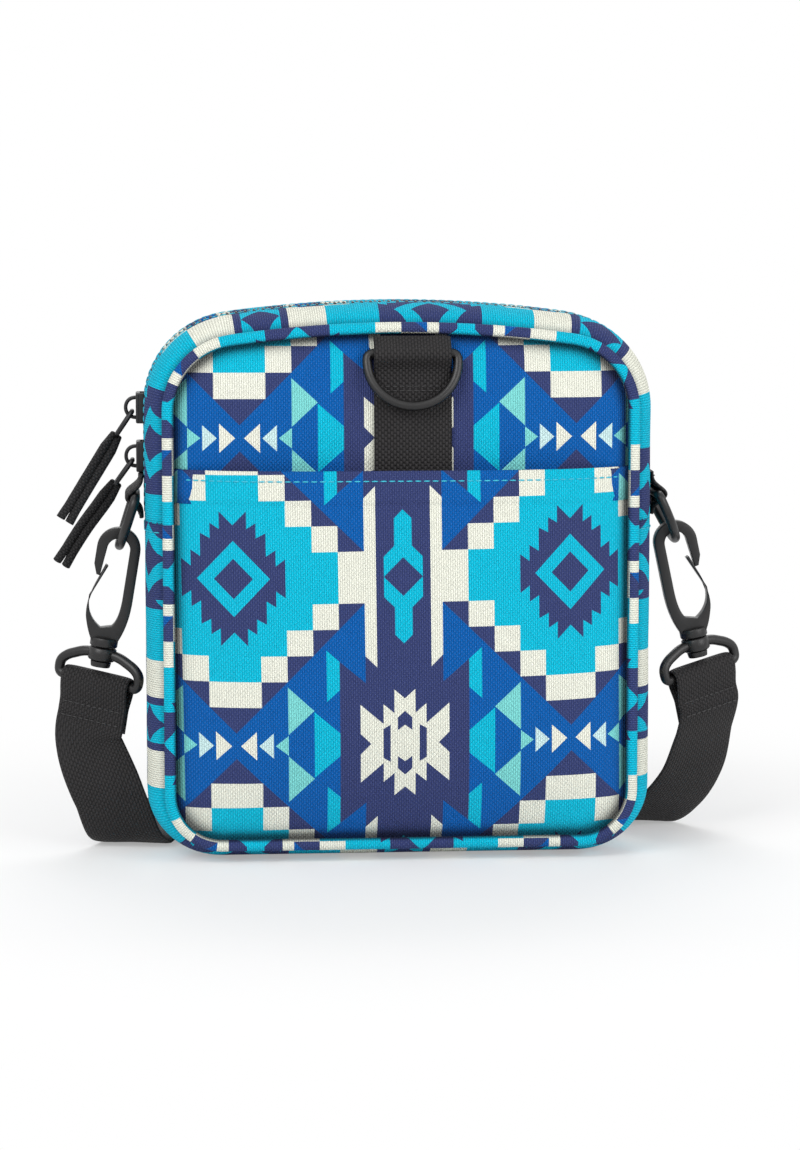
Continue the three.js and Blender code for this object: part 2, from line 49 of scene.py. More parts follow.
# Camera: a little left of the front and slightly above
cameraSet = {"aim": (-1.1, -33.0, 94.6), "azimuth": -4.5, "elevation": 7.0, "distance": 1100.0, "lens": 106.7}
cameraData = bpy.data.cameras.new("photoCamera")
cameraData.lens = cameraSet["lens"]
cameraData.sensor_width = 36.0
cameraData.clip_end = 20.0
photoCamera = bpy.data.objects.new("photoCamera", cameraData)
scene.collection.objects.link(photoCamera)
az, el = math.radians(cameraSet["azimuth"]), math.radians(cameraSet["elevation"])
away = Vector((math.sin(az) * math.cos(el), -math.cos(az) * math.cos(el), math.sin(el)))
photoCamera.location = (Vector(cameraSet["aim"]) + away * cameraSet["distance"]) * mm
photoCamera.rotation_euler = (-away).to_track_quat("-Z", "Y").to_euler()
scene.camera = photoCamera
print("camera set")


# Small helpers: colours, node arithmetic, mesh making
def ink(r, g, b):
    def flat(c):
        c /= 255.0
        return c / 12.92 if c <= 0.04045 else ((c + 0.055) / 1.055) ** 2.4
    return (flat(r), flat(g), flat(b), 1.0)


def newMaterial(name):
    mat = bpy.data.materials.new(name)
    mat.use_nodes = True
    nodes = mat.node_tree.nodes
    nodes.clear()
    out = nodes.new("ShaderNodeOutputMaterial")
    skin = nodes.new("ShaderNodeBsdfPrincipled")
    mat.node_tree.links.new(skin.outputs[0], out.inputs[0])
    return mat, mat.node_tree, skin


def calc(tree, kind, *values):
    node = tree.nodes.new("ShaderNodeMath")
    node.operation = kind
    for place, value in enumerate(values):
        if isinstance(value, (int, float)):
            node.inputs[place].default_value = value
        else:
            tree.links.new(value, node.inputs[place])
    return node.outputs[0]


def mixColour(tree, share, low, high, blend="MIX"):
    node = tree.nodes.new("ShaderNodeMix")
    node.data_type = "RGBA"
    node.blend_type = blend
    for place, value in ((0, share), (6, low), (7, high)):
        if isinstance(value, (int, float, tuple)):
            node.inputs[place].default_value = value
        else:
            tree.links.new(value, node.inputs[place])
    return node.outputs[2]


def clothCoords(tree):
    uv = tree.nodes.new("ShaderNodeUVMap")
    uv.uv_map = "cloth"
    split = tree.nodes.new("ShaderNodeSeparateXYZ")
    tree.links.new(uv.outputs[0], split.inputs[0])
    return split.outputs[0], split.outputs[1]


def speckle(tree, scale, detail=2.0):
    where = tree.nodes.new("ShaderNodeTexCoord")
    cloud = tree.nodes.new("ShaderNodeTexNoise")
    cloud.inputs["Scale"].default_value = scale
    cloud.inputs["Detail"].default_value = detail
    tree.links.new(where.outputs["Object"], cloud.inputs["Vector"])
    return cloud.outputs["Fac"]


def addBump(tree, skin, height, distance, strength=1.0):
    bump = tree.nodes.new("ShaderNodeBump")
    bump.inputs["Distance"].default_value = distance
    bump.inputs["Strength"].default_value = strength
    tree.links.new(height, bump.inputs["Height"])
    tree.links.new(bump.outputs[0], skin.inputs["Normal"])


def spread(tree, value, low, high):
    return calc(tree, "ADD", calc(tree, "MULTIPLY", value, high - low), low)


# Printed canvas: a stepped diamond repeat drawn in print units and folded about its mirror lines
printSet = {
    "unit": 8.36, "repeat": 6.5, "yarn": 0.74,
    "cyan": ink(4, 190, 220), "blue": ink(4, 94, 174), "navy": ink(56, 66, 114),
    "cream": ink(238, 239, 224), "mint": ink(128, 218, 214), "pale": ink(206, 236, 236),
}


def printedCanvas():
    mat, tree, skin = newMaterial("printedCanvas")
    acrossUv, alongUv = clothCoords(tree)
    half = printSet["repeat"]
    x = calc(tree, "PINGPONG", acrossUv, half)
    y = calc(tree, "PINGPONG", alongUv, half)
    w = calc(tree, "SUBTRACT", half, x)
    v = calc(tree, "SUBTRACT", half, y)

    def below(a, b):
        return calc(tree, "LESS_THAN", a, b)

    def both(*masks):
        whole = masks[0]
        for mask in masks[1:]:
            whole = calc(tree, "MULTIPLY", whole, mask)
        return whole

    def either(*masks):
        whole = masks[0]
        for mask in masks[1:]:
            whole = calc(tree, "MAXIMUM", whole, mask)
        return whole

    def within(a, low, high):
        return both(below(low, a), below(a, high))

    def line(a, start, slope):
        return calc(tree, "ADD", calc(tree, "MULTIPLY", a, slope), start)

    def ramp(a, from0, to0, from1, to1):
        slope = (to1 - to0) / (from1 - from0)
        return line(a, to0 - slope * from0, slope)

    steps = calc(tree, "ADD", calc(tree, "FLOOR", x), calc(tree, "FLOOR", y))
    total = calc(tree, "ADD", x, y)
    colour = mixColour(tree, below(total, 6.0), printSet["blue"], printSet["navy"])
    dark = both(within(x, 4.0, 5.0), below(ramp(x, 5, 4.1, 4, 3.25), y))
    plain = both(within(x, 4.0, 5.0), below(y, ramp(x, 5, 4.1, 4, 3.25)), below(6.0, total))
    colour = mixColour(tree, dark, colour, printSet["navy"])
    colour = mixColour(tree, plain, colour, printSet["blue"])
    colour = mixColour(tree, below(steps, 4.5), colour, printSet["cream"])
    colour = mixColour(tree, below(steps, 3.5), colour, printSet["cyan"])
    # middle column with its bar, spear and star
    colour = mixColour(tree, below(5.0, x), colour, printSet["navy"])
    bar = both(within(x, 5.0, 5.45), below(y, ramp(x, 5, 3.05, 6, 4.05)))
    colour = mixColour(tree, bar, colour, printSet["cream"])
    spear = either(
        both(below(w, 0.34), below(y, ramp(w, 0, 2.59, 0.34, 2.25))),
        both(below(w, 0.75), below(y, ramp(w, 0, 1.53, 0.75, 0.78))))
    eye = below(calc(tree, "ADD", w, y), 0.75)
    colour = mixColour(tree, spear, colour, printSet["cyan"])
    colour = mixColour(tree, eye, colour, printSet["navy"])
    star = either(
        both(below(w, 0.41), below(v, ramp(w, 0, 1.77, 0.41, 2.13))),
        both(within(w, 0.41, 0.83), below(v, ramp(w, 0.41, 1.2, 0.83, 1.56))),
        both(within(w, 0.83, 1.31), below(v, ramp(w, 0.83, 0.78, 1.72, 1.56))),
        both(within(w, 1.31, 1.72), below(v, ramp(w, 0.83, 0.78, 1.72, 1.56)),
             below(ramp(w, 1.31, 0, 1.72, 0.41), v)))
    slots = either(
        both(within(w, 0.56, 0.84), below(v, ramp(w, 0.56, 0.75, 0.84, 0.58))),
        both(below(w, 0.28), below(ramp(w, 0, 0.73, 0.28, 0.52), v), below(v, ramp(w, 0, 1.28, 0.28, 1.02))))
    colour = mixColour(tree, star, colour, printSet["cream"])
    colour = mixColour(tree, slots, colour, printSet["navy"])
    # side strips and the rows of arrows between the diamonds
    strip = both(within(x, 3.5, 4.0), below(ramp(x, 3.5, 2.8, 4, 3.25), y),
                 below(y, ramp(x, 3.5, 4.8, 4, 4.35)))
    wing = both(within(x, 3.0, 4.0), below(v, ramp(x, 3, 1.32, 4, 0.45)))
    colour = mixColour(tree, either(strip, wing), colour, printSet["cyan"])
    offMid = calc(tree, "ABSOLUTE", calc(tree, "SUBTRACT", v, 1.36))
    fin = both(within(x, 2.0, 3.0), below(offMid, ramp(x, 2, 0.93, 3, 0)))
    colour = mixColour(tree, fin, colour, printSet["mint"])
    arrows = ((0.17, 0.78, 0.56, "cream"), (0.87, 1.43, 0.5, "pale"), (1.5, 2.0, 0.39, "mint"))
    for tip, base, high, name in arrows:
        arrow = both(within(x, tip, base), below(v, ramp(x, tip, 0, base, high)))
        colour = mixColour(tree, arrow, colour, printSet[name])
    # saw-edged diamond with a ring in it
    teeth = ((0, 2.07, 0.515, 2.6), (0.515, 1.92, 0.87, 2.15), (0.87, 1.56, 1.245, 1.76),
             (1.245, 0.86, 1.615, 1.1), (1.615, 0.48, 1.98, 0.75))
    saw = either(*[both(within(x, a - 0.001, c), below(y, ramp(x, a, b, c, d))) for a, b, c, d in teeth])
    ring = below(calc(tree, "ADD", calc(tree, "DIVIDE", x, 1.39), calc(tree, "DIVIDE", y, 1.47)), 1.0)
    core = below(calc(tree, "ADD", calc(tree, "DIVIDE", x, 0.74), calc(tree, "DIVIDE", y, 0.78)), 1.0)
    colour = mixColour(tree, saw, colour, printSet["navy"])
    colour = mixColour(tree, ring, colour, printSet["cyan"])
    colour = mixColour(tree, core, colour, printSet["navy"])
    # plain weave: yarns over and under, a little of the ground showing between them
    turns = math.pi * printSet["unit"] / printSet["yarn"]
    warp = calc(tree, "SINE", calc(tree, "MULTIPLY", acrossUv, turns))
    weft = calc(tree, "SINE", calc(tree, "MULTIPLY", alongUv, turns))
    crossing = calc(tree, "MULTIPLY", warp, weft)
    yarns = calc(tree, "ADD", calc(tree, "ABSOLUTE", warp), calc(tree, "MULTIPLY", crossing, 0.45))
    shade = spread(tree, yarns, 0.92, 1.12)
    grey = tree.nodes.new("ShaderNodeCombineColor")
    for place in range(3):
        tree.links.new(shade, grey.inputs[place])
    colour = mixColour(tree, 1.0, colour, grey.outputs[0], "MULTIPLY")
    # slubs darken the print a little, and pale ground shows at some crossings
    cloud = calc(tree, "MULTIPLY", speckle(tree, 420.0, 3.0), 0.14)
    colour = mixColour(tree, cloud, colour, ink(16, 40, 92), "MULTIPLY")
    bare = calc(tree, "MULTIPLY", calc(tree, "GREATER_THAN", crossing, 0.5), 0.03)
    colour = mixColour(tree, bare, colour, ink(225, 232, 236))
    # painted shade: the canvas darkens along its seams, beside and on the piping, where the seam grooves would lie in
    # shade
    seam = tree.nodes.new("ShaderNodeAttribute")
    seam.attribute_name = "paintedSeamShade"
    seamShadeShare = calc(tree, "MULTIPLY", calc(tree, "POWER", seam.outputs["Fac"], 1.4), 0.8)
    colour = mixColour(tree, seamShadeShare, colour, ink(14, 20, 40))
    tree.links.new(colour, skin.inputs["Base Color"])
    skin.inputs["Roughness"].default_value = 0.88
    skin.inputs["Specular IOR Level"].default_value = 0.12
    skin.inputs["Sheen Weight"].default_value = 0.015
    skin.inputs["Sheen Roughness"].default_value = 0.5
    addBump(tree, skin, yarns, 0.0003, 0.9)
    return mat


def wovenBlack(name, shades, rib, roughness, depth):
    mat, tree, skin = newMaterial(name)
    across, along = clothCoords(tree)
    # short lengthwise floats, every second column of them set half a float along
    column = calc(tree, "DIVIDE", across, rib * 0.56)
    odd = calc(tree, "MODULO", calc(tree, "FLOOR", column), 2.0)
    shifted = calc(tree, "ADD", calc(tree, "DIVIDE", along, rib), calc(tree, "MULTIPLY", odd, 0.5))

    def hump(value, sharpness):
        wave = calc(tree, "SINE", calc(tree, "MULTIPLY", value, math.pi))
        return calc(tree, "POWER", calc(tree, "ABSOLUTE", wave), sharpness)

    ribs = hump(shifted, 0.7)
    ends = hump(column, 0.6)
    height = calc(tree, "SUBTRACT", calc(tree, "MULTIPLY", ribs, ends), 0.35)
    cloud = speckle(tree, 90.0, 3.0)
    fade = calc(tree, "MULTIPLY", calc(tree, "SUBTRACT", cloud, 0.5), 0.5)
    share = calc(tree, "ADD", spread(tree, height, 0.38, 1.5), fade)
    tree.links.new(mixColour(tree, share, shades[0], shades[1]), skin.inputs["Base Color"])
    skin.inputs["Roughness"].default_value = roughness
    skin.inputs["Specular IOR Level"].default_value = 0.26
    skin.inputs["Sheen Weight"].default_value = 0.02
    addBump(tree, skin, height, depth, 0.9)
    return mat


def mouldedBlack(name, shades, roughness, metallic, grainScale, depth):
    mat, tree, skin = newMaterial(name)
    grain = speckle(tree, grainScale, 4.0)
    cloud = speckle(tree, grainScale * 0.12, 2.0)
    tree.links.new(mixColour(tree, cloud, shades[0], shades[1]), skin.inputs["Base Color"])
    tree.links.new(spread(tree, grain, roughness - 0.08, roughness + 0.1), skin.inputs["Roughness"])
    skin.inputs["Metallic"].default_value = metallic
    addBump(tree, skin, grain, depth, 0.6)
    return mat


def sewingThread(name, low, high):
    mat, tree, skin = newMaterial(name)
    across, along = clothCoords(tree)
    twist = calc(tree, "SINE", calc(tree, "MULTIPLY", calc(tree, "ADD", across, along), 14.0))
    tree.links.new(mixColour(tree, spread(tree, twist, 0.5, 1.0), low, high), skin.inputs["Base Color"])
    skin.inputs["Roughness"].default_value = 0.6
    addBump(tree, skin, twist, 0.00006, 0.6)
    return mat


canvasPrint = printedCanvas()
webbingBlack = wovenBlack("webbingBlack", (ink(11, 10, 11), ink(44, 42, 43)), 1.75, 0.66, 0.0004)
tapeBlack = wovenBlack("tapeBlack", (ink(18, 18, 19), ink(44, 43, 45)), 0.8, 0.8, 0.0001)
braidBlack = wovenBlack("braidBlack", (ink(10, 10, 11), ink(44, 43, 44)), 1.7, 0.75, 0.0004)
plasticBlack = mouldedBlack("plasticBlack", (ink(14, 13, 14), ink(20, 19, 20)), 0.38, 0.0, 900.0, 0.00003)
coilBlack = mouldedBlack("coilBlack", (ink(22, 22, 23), ink(32, 32, 33)), 0.42, 0.0, 700.0, 0.00002)
sliderBlack = mouldedBlack("sliderBlack", (ink(34, 34, 36), ink(46, 46, 48)), 0.36, 0.55, 800.0, 0.00002)
threadCyan = sewingThread("threadCyan", ink(20, 150, 180), ink(70, 205, 225))
threadBlack = sewingThread("threadBlack", ink(16, 16, 17), ink(60, 59, 60))
print("materials made")


# Mesh helpers: a grid carried onto a surface, and a section carried along a run
def gridOn(cols, rows, place, uvAt, paintedSeamShadeAt=None):
    bm = bmesh.new()
    bmesh.ops.create_grid(bm, x_segments=cols, y_segments=rows, size=1.0)
    layer = bm.loops.layers.uv.new("cloth")
    # a float layer per vertex holding how much painted seam shade the canvas gets there
    paintedSeamShade = bm.verts.layers.float.new("paintedSeamShade")
    cell = {p: (round((p.co.x + 1) / 2 * cols), round((p.co.y + 1) / 2 * rows)) for p in bm.verts}
    for face in bm.faces:
        for corner in face.loops:
            corner[layer].uv = uvAt(*cell[corner.vert])
    for p, (i, j) in cell.items():
        p.co = Vector(place(i, j)) * mm
        p[paintedSeamShade] = min(max(paintedSeamShadeAt(i, j), 0.0), 1.0) if paintedSeamShadeAt else 0.0
    return bm


def faceAwayFrom(bm, point):
    bm.normal_update()
    middle = Vector(point) * mm
    lean = sum(f.normal.dot(f.calc_center_median() - middle) * f.calc_area() for f in bm.faces)
    if lean < 0:
        bmesh.ops.reverse_faces(bm, faces=bm.faces[:])


def closeShell(bm):
    bmesh.ops.remove_doubles(bm, verts=bm.verts[:], dist=2e-6)
    bmesh.ops.dissolve_degenerate(bm, edges=bm.edges[:], dist=1e-7)
    rims = [e for e in bm.edges if e.is_boundary]
    if rims:
        bmesh.ops.holes_fill(bm, edges=rims, sides=0)
    bmesh.ops.recalc_face_normals(bm, faces=bm.faces[:])


def sweep(rows, section, closed=False, uvStart=(0.0, 0.0), uvScale=1.0, paintedSeamShadeAt=None):
    n, cols = len(rows), len(section)
    last = n if closed else n - 1
    runs = [0.0]
    for j in range(last):
        runs.append(runs[-1] + (rows[(j + 1) % n][0] - rows[j][0]).length)
    girth = [0.0]
    for i in range(cols):
        a, b = section[i], section[(i + 1) % cols]
        girth.append(girth[-1] + math.hypot(b[0] - a[0], b[1] - a[1]))

    def place(i, j):
        at, wide, thin = rows[j % n]
        a, b = section[i % cols]
        return at + wide * a + thin * b

    def uvAt(i, j):
        return (uvStart[0] + runs[j] / uvScale, uvStart[1] + girth[i] / uvScale)

    bm = gridOn(cols, last, place, uvAt, paintedSeamShadeAt)
    closeShell(bm)
    return bm


def roundSection(radius, sides=14):
    turns = [2 * math.pi * k / sides for k in range(sides)]
    return [(radius * math.cos(t), radius * math.sin(t)) for t in turns]


def ovalSection(halfWide, halfThin, wideness=7.0, thinness=2.6, sides=28):
    ring = []
    for k in range(sides):
        t = 2 * math.pi * (k + 0.5) / sides
        c, s = math.cos(t), math.sin(t)
        ring.append((math.copysign(abs(c) ** (2 / wideness), c) * halfWide,
                     math.copysign(abs(s) ** (2 / thinness), s) * halfThin))
    return ring


def softCorners(points, radius, steps=5):
    out = []
    n = len(points)
    for k in range(n):
        before, here, after = points[k - 1], points[k], points[(k + 1) % n]
        a, b = (before - here), (after - here)
        reach = min(radius, a.length * 0.48, b.length * 0.48)
        p, q = here + a.normalized() * reach, here + b.normalized() * reach
        for s in range(steps + 1):
            t = s / steps
            out.append(p * (1 - t) ** 2 + here * 2 * t * (1 - t) + q * t * t)
    return out


def planeRows(points, normal, closed=True):
    n = len(points)
    rows = []
    for k in range(n):
        before = points[k - 1] if closed else points[max(k - 1, 0)]
        after = points[(k + 1) % n] if closed else points[min(k + 1, n - 1)]
        along = (after - before).normalized()
        rows.append((points[k], along.cross(normal).normalized(), normal))
    return rows


def smoothRun(points, count):
    pts = [2 * points[0] - points[1]] + points + [2 * points[-1] - points[-2]]
    fine = []
    for k in range(1, len(pts) - 2):
        p0, p1, p2, p3 = pts[k - 1:k + 3]
        t0 = 0.0
        t1 = t0 + max((p1 - p0).length, 1e-6) ** 0.5
        t2 = t1 + max((p2 - p1).length, 1e-6) ** 0.5
        t3 = t2 + max((p3 - p2).length, 1e-6) ** 0.5
        for s in range(24):
            t = t1 + (t2 - t1) * s / 24
            a1 = p0 * ((t1 - t) / (t1 - t0)) + p1 * ((t - t0) / (t1 - t0))
            a2 = p1 * ((t2 - t) / (t2 - t1)) + p2 * ((t - t1) / (t2 - t1))
            a3 = p2 * ((t3 - t) / (t3 - t2)) + p3 * ((t - t2) / (t3 - t2))
            b1 = a1 * ((t2 - t) / (t2 - t0)) + a2 * ((t - t0) / (t2 - t0))
            b2 = a2 * ((t3 - t) / (t3 - t1)) + a3 * ((t - t1) / (t3 - t1))
            fine.append(b1 * ((t2 - t) / (t2 - t1)) + b2 * ((t - t1) / (t2 - t1)))
    fine.append(pts[-2])
    return evenly(fine, count)


def evenly(points, count):
    runs = [0.0]
    for a, b in zip(points, points[1:]):
        runs.append(runs[-1] + (b - a).length)
    out, k = [], 0
    for s in range(count + 1):
        want = runs[-1] * s / count
        while k < len(points) - 2 and runs[k + 1] < want:
            k += 1
        gap = max(runs[k + 1] - runs[k], 1e-9)
        out.append(points[k].lerp(points[k + 1], min(max((want - runs[k]) / gap, 0.0), 1.0)))
    return out


def joinPart(bm, part):
    mesh = bpy.data.meshes.new("part")
    part.to_mesh(mesh)
    part.free()
    bm.from_mesh(mesh)
    bpy.data.meshes.remove(mesh)


def finishPiece(bm, name, material, body, nodes=(), smooth=True):
    mesh = bpy.data.meshes.new(name)
    for face in bm.faces:
        face.smooth = smooth
    bm.to_mesh(mesh)
    bm.free()
    piece = bpy.data.objects.new(name, mesh)
    scene.collection.objects.link(piece)
    mesh.materials.append(material)
    if body:
        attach(piece, body)
    if nodes:
        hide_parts(*nodes)
    return piece


def thicken(piece, thick, offset=-1.0):
    wall = piece.modifiers.new("wall", "SOLIDIFY")
    wall.thickness = thick * mm
    wall.offset = offset


def addBall(bm, centre, along, up, size):
    side = up.cross(along).normalized()
    turn = Matrix((along.normalized(), side, along.normalized().cross(side).normalized())).transposed().to_4x4()
    scale = Matrix.Diagonal((size[0] * mm, size[1] * mm, size[2] * mm, 1))
    place = Matrix.Translation(Vector(centre) * mm) @ turn @ scale
    bmesh.ops.create_uvsphere(bm, u_segments=8, v_segments=5, radius=0.5, matrix=place)


def addBlock(bm, low, high, soft, turn=Matrix()):
    size = [b - a for a, b in zip(low, high)]
    middle = [(a + b) / 2 for a, b in zip(low, high)]
    made = bmesh.ops.create_cube(bm, size=1.0)["verts"]
    edges = list({e for p in made for e in p.link_edges})
    bmesh.ops.scale(bm, vec=[s * mm for s in size], verts=made)
    bmesh.ops.translate(bm, vec=[c * mm for c in middle], verts=made)
    bmesh.ops.transform(bm, matrix=turn, verts=made)
    bmesh.ops.bevel(bm, geom=edges, offset=soft * mm, affect="EDGES", segments=3, profile=0.5, material=-1,
                    clamp_overlap=True)


def addDrum(bm, radius, topRadius, low, high, soft, turn=Matrix()):
    place = turn @ Matrix.Translation((0, 0, (low + high) / 2 * mm))
    made = bmesh.ops.create_cone(bm, cap_ends=True, segments=32, radius1=radius * mm, radius2=topRadius * mm,
                                 depth=(high - low) * mm, matrix=place)["verts"]
    rims = [e for e in {e for p in made for e in p.link_edges}
            if len(e.link_faces) == 2 and max(len(f.verts) for f in e.link_faces) > 4]
    bmesh.ops.bevel(bm, geom=rims, offset=soft * mm, affect="EDGES", segments=3, profile=0.5, material=-1)


# Seam outline of the bag, each point with its outward direction
bagSet = {
    "halfWidth": 75.5, "apex": 174.0, "floor": 5.6, "seamY": 28.0, "topCorner": 23.5, "lowCorner": 17.0,
    "archRadius": 400.0, "bulge": 7.4, "sideSeam": 111.0, "piping": 1.9, "middle": 90.0,
}
cornerX = bagSet["halfWidth"] - bagSet["topCorner"]
archTurn = math.acos(cornerX / (bagSet["archRadius"] - bagSet["topCorner"]))
cornerZ = bagSet["apex"] - bagSet["archRadius"] + (bagSet["archRadius"] - bagSet["topCorner"]) * math.sin(archTurn)
lowX = bagSet["halfWidth"] - bagSet["lowCorner"]
lowZ = bagSet["floor"] + bagSet["lowCorner"]


def arcPoints(cx, cz, radius, start, stop, steps):
    turns = [start + (stop - start) * k / steps for k in range(steps + 1)]
    return [(cx + radius * math.cos(t), cz + radius * math.sin(t), math.cos(t), math.sin(t)) for t in turns]


def straight(a, b, steps):
    return [(a[0] + (b[0] - a[0]) * k / steps, a[1] + (b[1] - a[1]) * k / steps, a[2], a[3]) for k in range(steps)]


def upperSeam(startZ):
    half = bagSet["halfWidth"]
    left, leftTop = (-half, startZ, -1.0, 0.0), (-half, cornerZ, -1.0, 0.0)
    path = straight(left, leftTop, 14)
    path += arcPoints(-cornerX, cornerZ, bagSet["topCorner"], math.pi, math.pi - archTurn, 20)[:-1]
    archZ = bagSet["apex"] - bagSet["archRadius"]
    path += arcPoints(0, archZ, bagSet["archRadius"], math.pi - archTurn, archTurn, 36)[:-1]
    path += arcPoints(cornerX, cornerZ, bagSet["topCorner"], archTurn, 0.0, 20)[:-1]
    path += straight((half, cornerZ, 1.0, 0.0), (half, startZ, 1.0, 0.0), 14)
    return path + [(half, startZ, 1.0, 0.0)]


def lowerSeam(startZ):
    half = bagSet["halfWidth"]
    path = straight((half, startZ, 1.0, 0.0), (half, lowZ, 1.0, 0.0), 26)
    path += arcPoints(lowX, lowZ, bagSet["lowCorner"], 0.0, -math.pi / 2, 16)[:-1]
    path += straight((lowX, bagSet["floor"], 0.0, -1.0), (-lowX, bagSet["floor"], 0.0, -1.0), 40)
    path += arcPoints(-lowX, lowZ, bagSet["lowCorner"], -math.pi / 2, -math.pi, 16)[:-1]
    path += straight((-half, lowZ, -1.0, 0.0), (-half, startZ, -1.0, 0.0), 26)
    return path + [(-half, startZ, -1.0, 0.0)]


seamRound = upperSeam(bagSet["sideSeam"])[:-1] + lowerSeam(bagSet["sideSeam"])[:-1]
panelRim = [(p[0] - 2.25 * p[2], p[1] - 2.25 * p[3]) for p in seamRound]


def rimShare(x, z):
    dx, dz, mid, far = x, z - bagSet["middle"], bagSet["middle"], 1e9
    for k in range(len(panelRim)):
        ax, aHeight = panelRim[k - 1]
        bx, bz = panelRim[k]
        ex, ez = bx - ax, bz - aHeight
        cross = dx * ez - dz * ex
        if abs(cross) < 1e-9:
            continue
        t = (ax * ez - (aHeight - mid) * ex) / cross
        u = (ax * dz - (aHeight - mid) * dx) / cross
        if t > 0 and -1e-9 <= u <= 1 + 1e-9:
            far = min(far, t)
    return 1 / far


def swell(share):
    return max(0.0, 1 - share ** 4)


def ripple(x, z, seed, size=34.0):
    return noise.noise(Vector((x / size, z / size, seed)))


def frontFace(x, z):
    return -(28.3 + 5.0 * swell(rimShare(x, z)))


def seamDip(share, depth):
    return depth * math.exp(-(((1 - min(share, 1.0)) * 76.0 / 2.6) ** 2))  # cloth pulled down beside the piping


# Strap: the long run first, folded flat behind the bag
webSet = {"width": 25.0, "thick": 1.5, "floor": 0.9, "lowest": 0.05,
          "near": 42.0, "far": 172.0, "runs": 6, "span": 78.0, "fold": 2.0}
webSection = ovalSection(webSet["width"] / 2, webSet["thick"] / 2)


def webRows(points, acrosses, level=False):
    rows = []
    for k, at in enumerate(points):
        along = (points[min(k + 1, len(points) - 1)] - points[max(k - 1, 0)]).normalized()
        across = acrosses[k]
        if not level:
            across = (across - along * across.dot(along)).normalized()
        rows.append((at, across, along.cross(across).normalized()))
    return rows


def webPiece(rows):
    bm = sweep(rows, webSection)
    for p in bm.verts:
        p.co.z = max(p.co.z, webSet["lowest"] * mm)
    layer = bm.loops.layers.uv["cloth"]
    girth = [0.0]
    for i in range(len(webSection)):
        a, b = webSection[i], webSection[(i + 1) % len(webSection)]
        girth.append(girth[-1] + math.hypot(b[0] - a[0], b[1] - a[1]))
    for face in bm.faces:
        for corner in face.loops:
            along, girthAt = corner[layer].uv
            near = min(range(len(girth)), key=lambda k: abs(girth[k] - girthAt))
            corner[layer].uv = (webSection[near % len(webSection)][0] + 20.0, along)
    return bm


def foldedRun():
    length = webSet["far"] - webSet["near"]
    low, fold = webSet["floor"], webSet["fold"]
    lane = low + webSet["thick"] + 0.35
    points = []
    for run in range(webSet["runs"]):
        ahead, final = run % 2 == 0, run == webSet["runs"] - 1
        levels = [(0, low), (0.25 * length, low)]
        if run:
            levels = [(2.5, low + 2 * fold), (8, lane + 0.9), (14, lane),
                      (0.3 * length, lane), (0.482 * length, lane)]
        levels += [(0.518 * length, low), (0.75 * length, low), (length if final else length - 2.5, low)]
        for d, z in levels:
            x = -webSet["span"] + 2 * webSet["span"] * (run + d / length) / webSet["runs"]
            points.append(Vector((x, webSet["near"] + d if ahead else webSet["far"] - d, z)))
        if final:
            break
        x = -webSet["span"] + 2 * webSet["span"] * (run + 1) / webSet["runs"]
        tip, out = (webSet["far"], 1) if ahead else (webSet["near"], -1)
        for t in (-60, -20, 20, 60):
            turn = math.radians(t)
            points.append(Vector((x + t / 90, tip - out * fold + out * fold * math.cos(turn),
                                  low + fold + fold * math.sin(turn))))
    return points


foldPoints = foldedRun()
foldRows = webRows(foldPoints, [Vector((1, 0, 0))] * len(foldPoints), level=True)
strapFolds = finishPiece(webPiece(foldRows), "strapFolds", webbingBlack, "bag", ["strap_folds"])

# Strap ends: round the eye's bar, sewn to themselves, then down to the floor and back behind the bag
endSet = {
    "left": {"side": -1, "ringTilt": 18.0, "hookTilt": 9.5,
             "fall": [(20, -4, 17), (15.5, -1, 4.6), (11.5, 7, 0), (6, 28, 0)]},
    "right": {"side": 1, "ringTilt": 25.0, "hookTilt": 12.0,
              "fall": [(28.5, 3, 33), (26, 9, 20.5), (20, 17, 9), (11.5, 27, 1.2)]},
}
ringSet = {"wire": 1.55, "drop": 17.5, "half": 14.65, "barX": 86.0, "barZ": 118.0}
hookSet = {"length": 40.0, "thick": 4.6, "bowHalf": 7.2, "stem": 3.2, "collar": 4.6, "stud": 2.2}
eyeSet = {"collar": 4.4, "drop": 11.8, "wire": 1.7, "turn": 28.0, "tail": 14.0, "fit": 0.3}
bowInner = hookSet["bowHalf"] - hookSet["stem"] - 0.2
ringSeat = hookSet["length"] - hookSet["bowHalf"] - 0.2 + bowInner - 0.8 - ringSet["wire"]


def about(axis, degrees):
    return Matrix.Rotation(math.radians(degrees), 4, axis)


for end in endSet.values():
    side = end["side"]
    barAt = Matrix.Translation((side * ringSet["barX"], 0, ringSet["barZ"]))
    end["ring"] = barAt @ about("Y", -side * end["ringTilt"]) @ about("Z", 90)
    bow = end["ring"] @ Vector((0, 0, -ringSet["drop"]))
    tilt = about("Y", -side * end["hookTilt"])
    seat = bow - (tilt @ Vector((0, 0, 1))) * ringSeat
    place = Matrix.Translation(seat) @ tilt
    end["hook"] = place if side > 0 else place @ about("Z", 180)
    end["eye"] = place @ about("Z", side * eyeSet["turn"])
    end["bar"] = end["eye"] @ Matrix.Translation((0, 0, -eyeSet["drop"]))

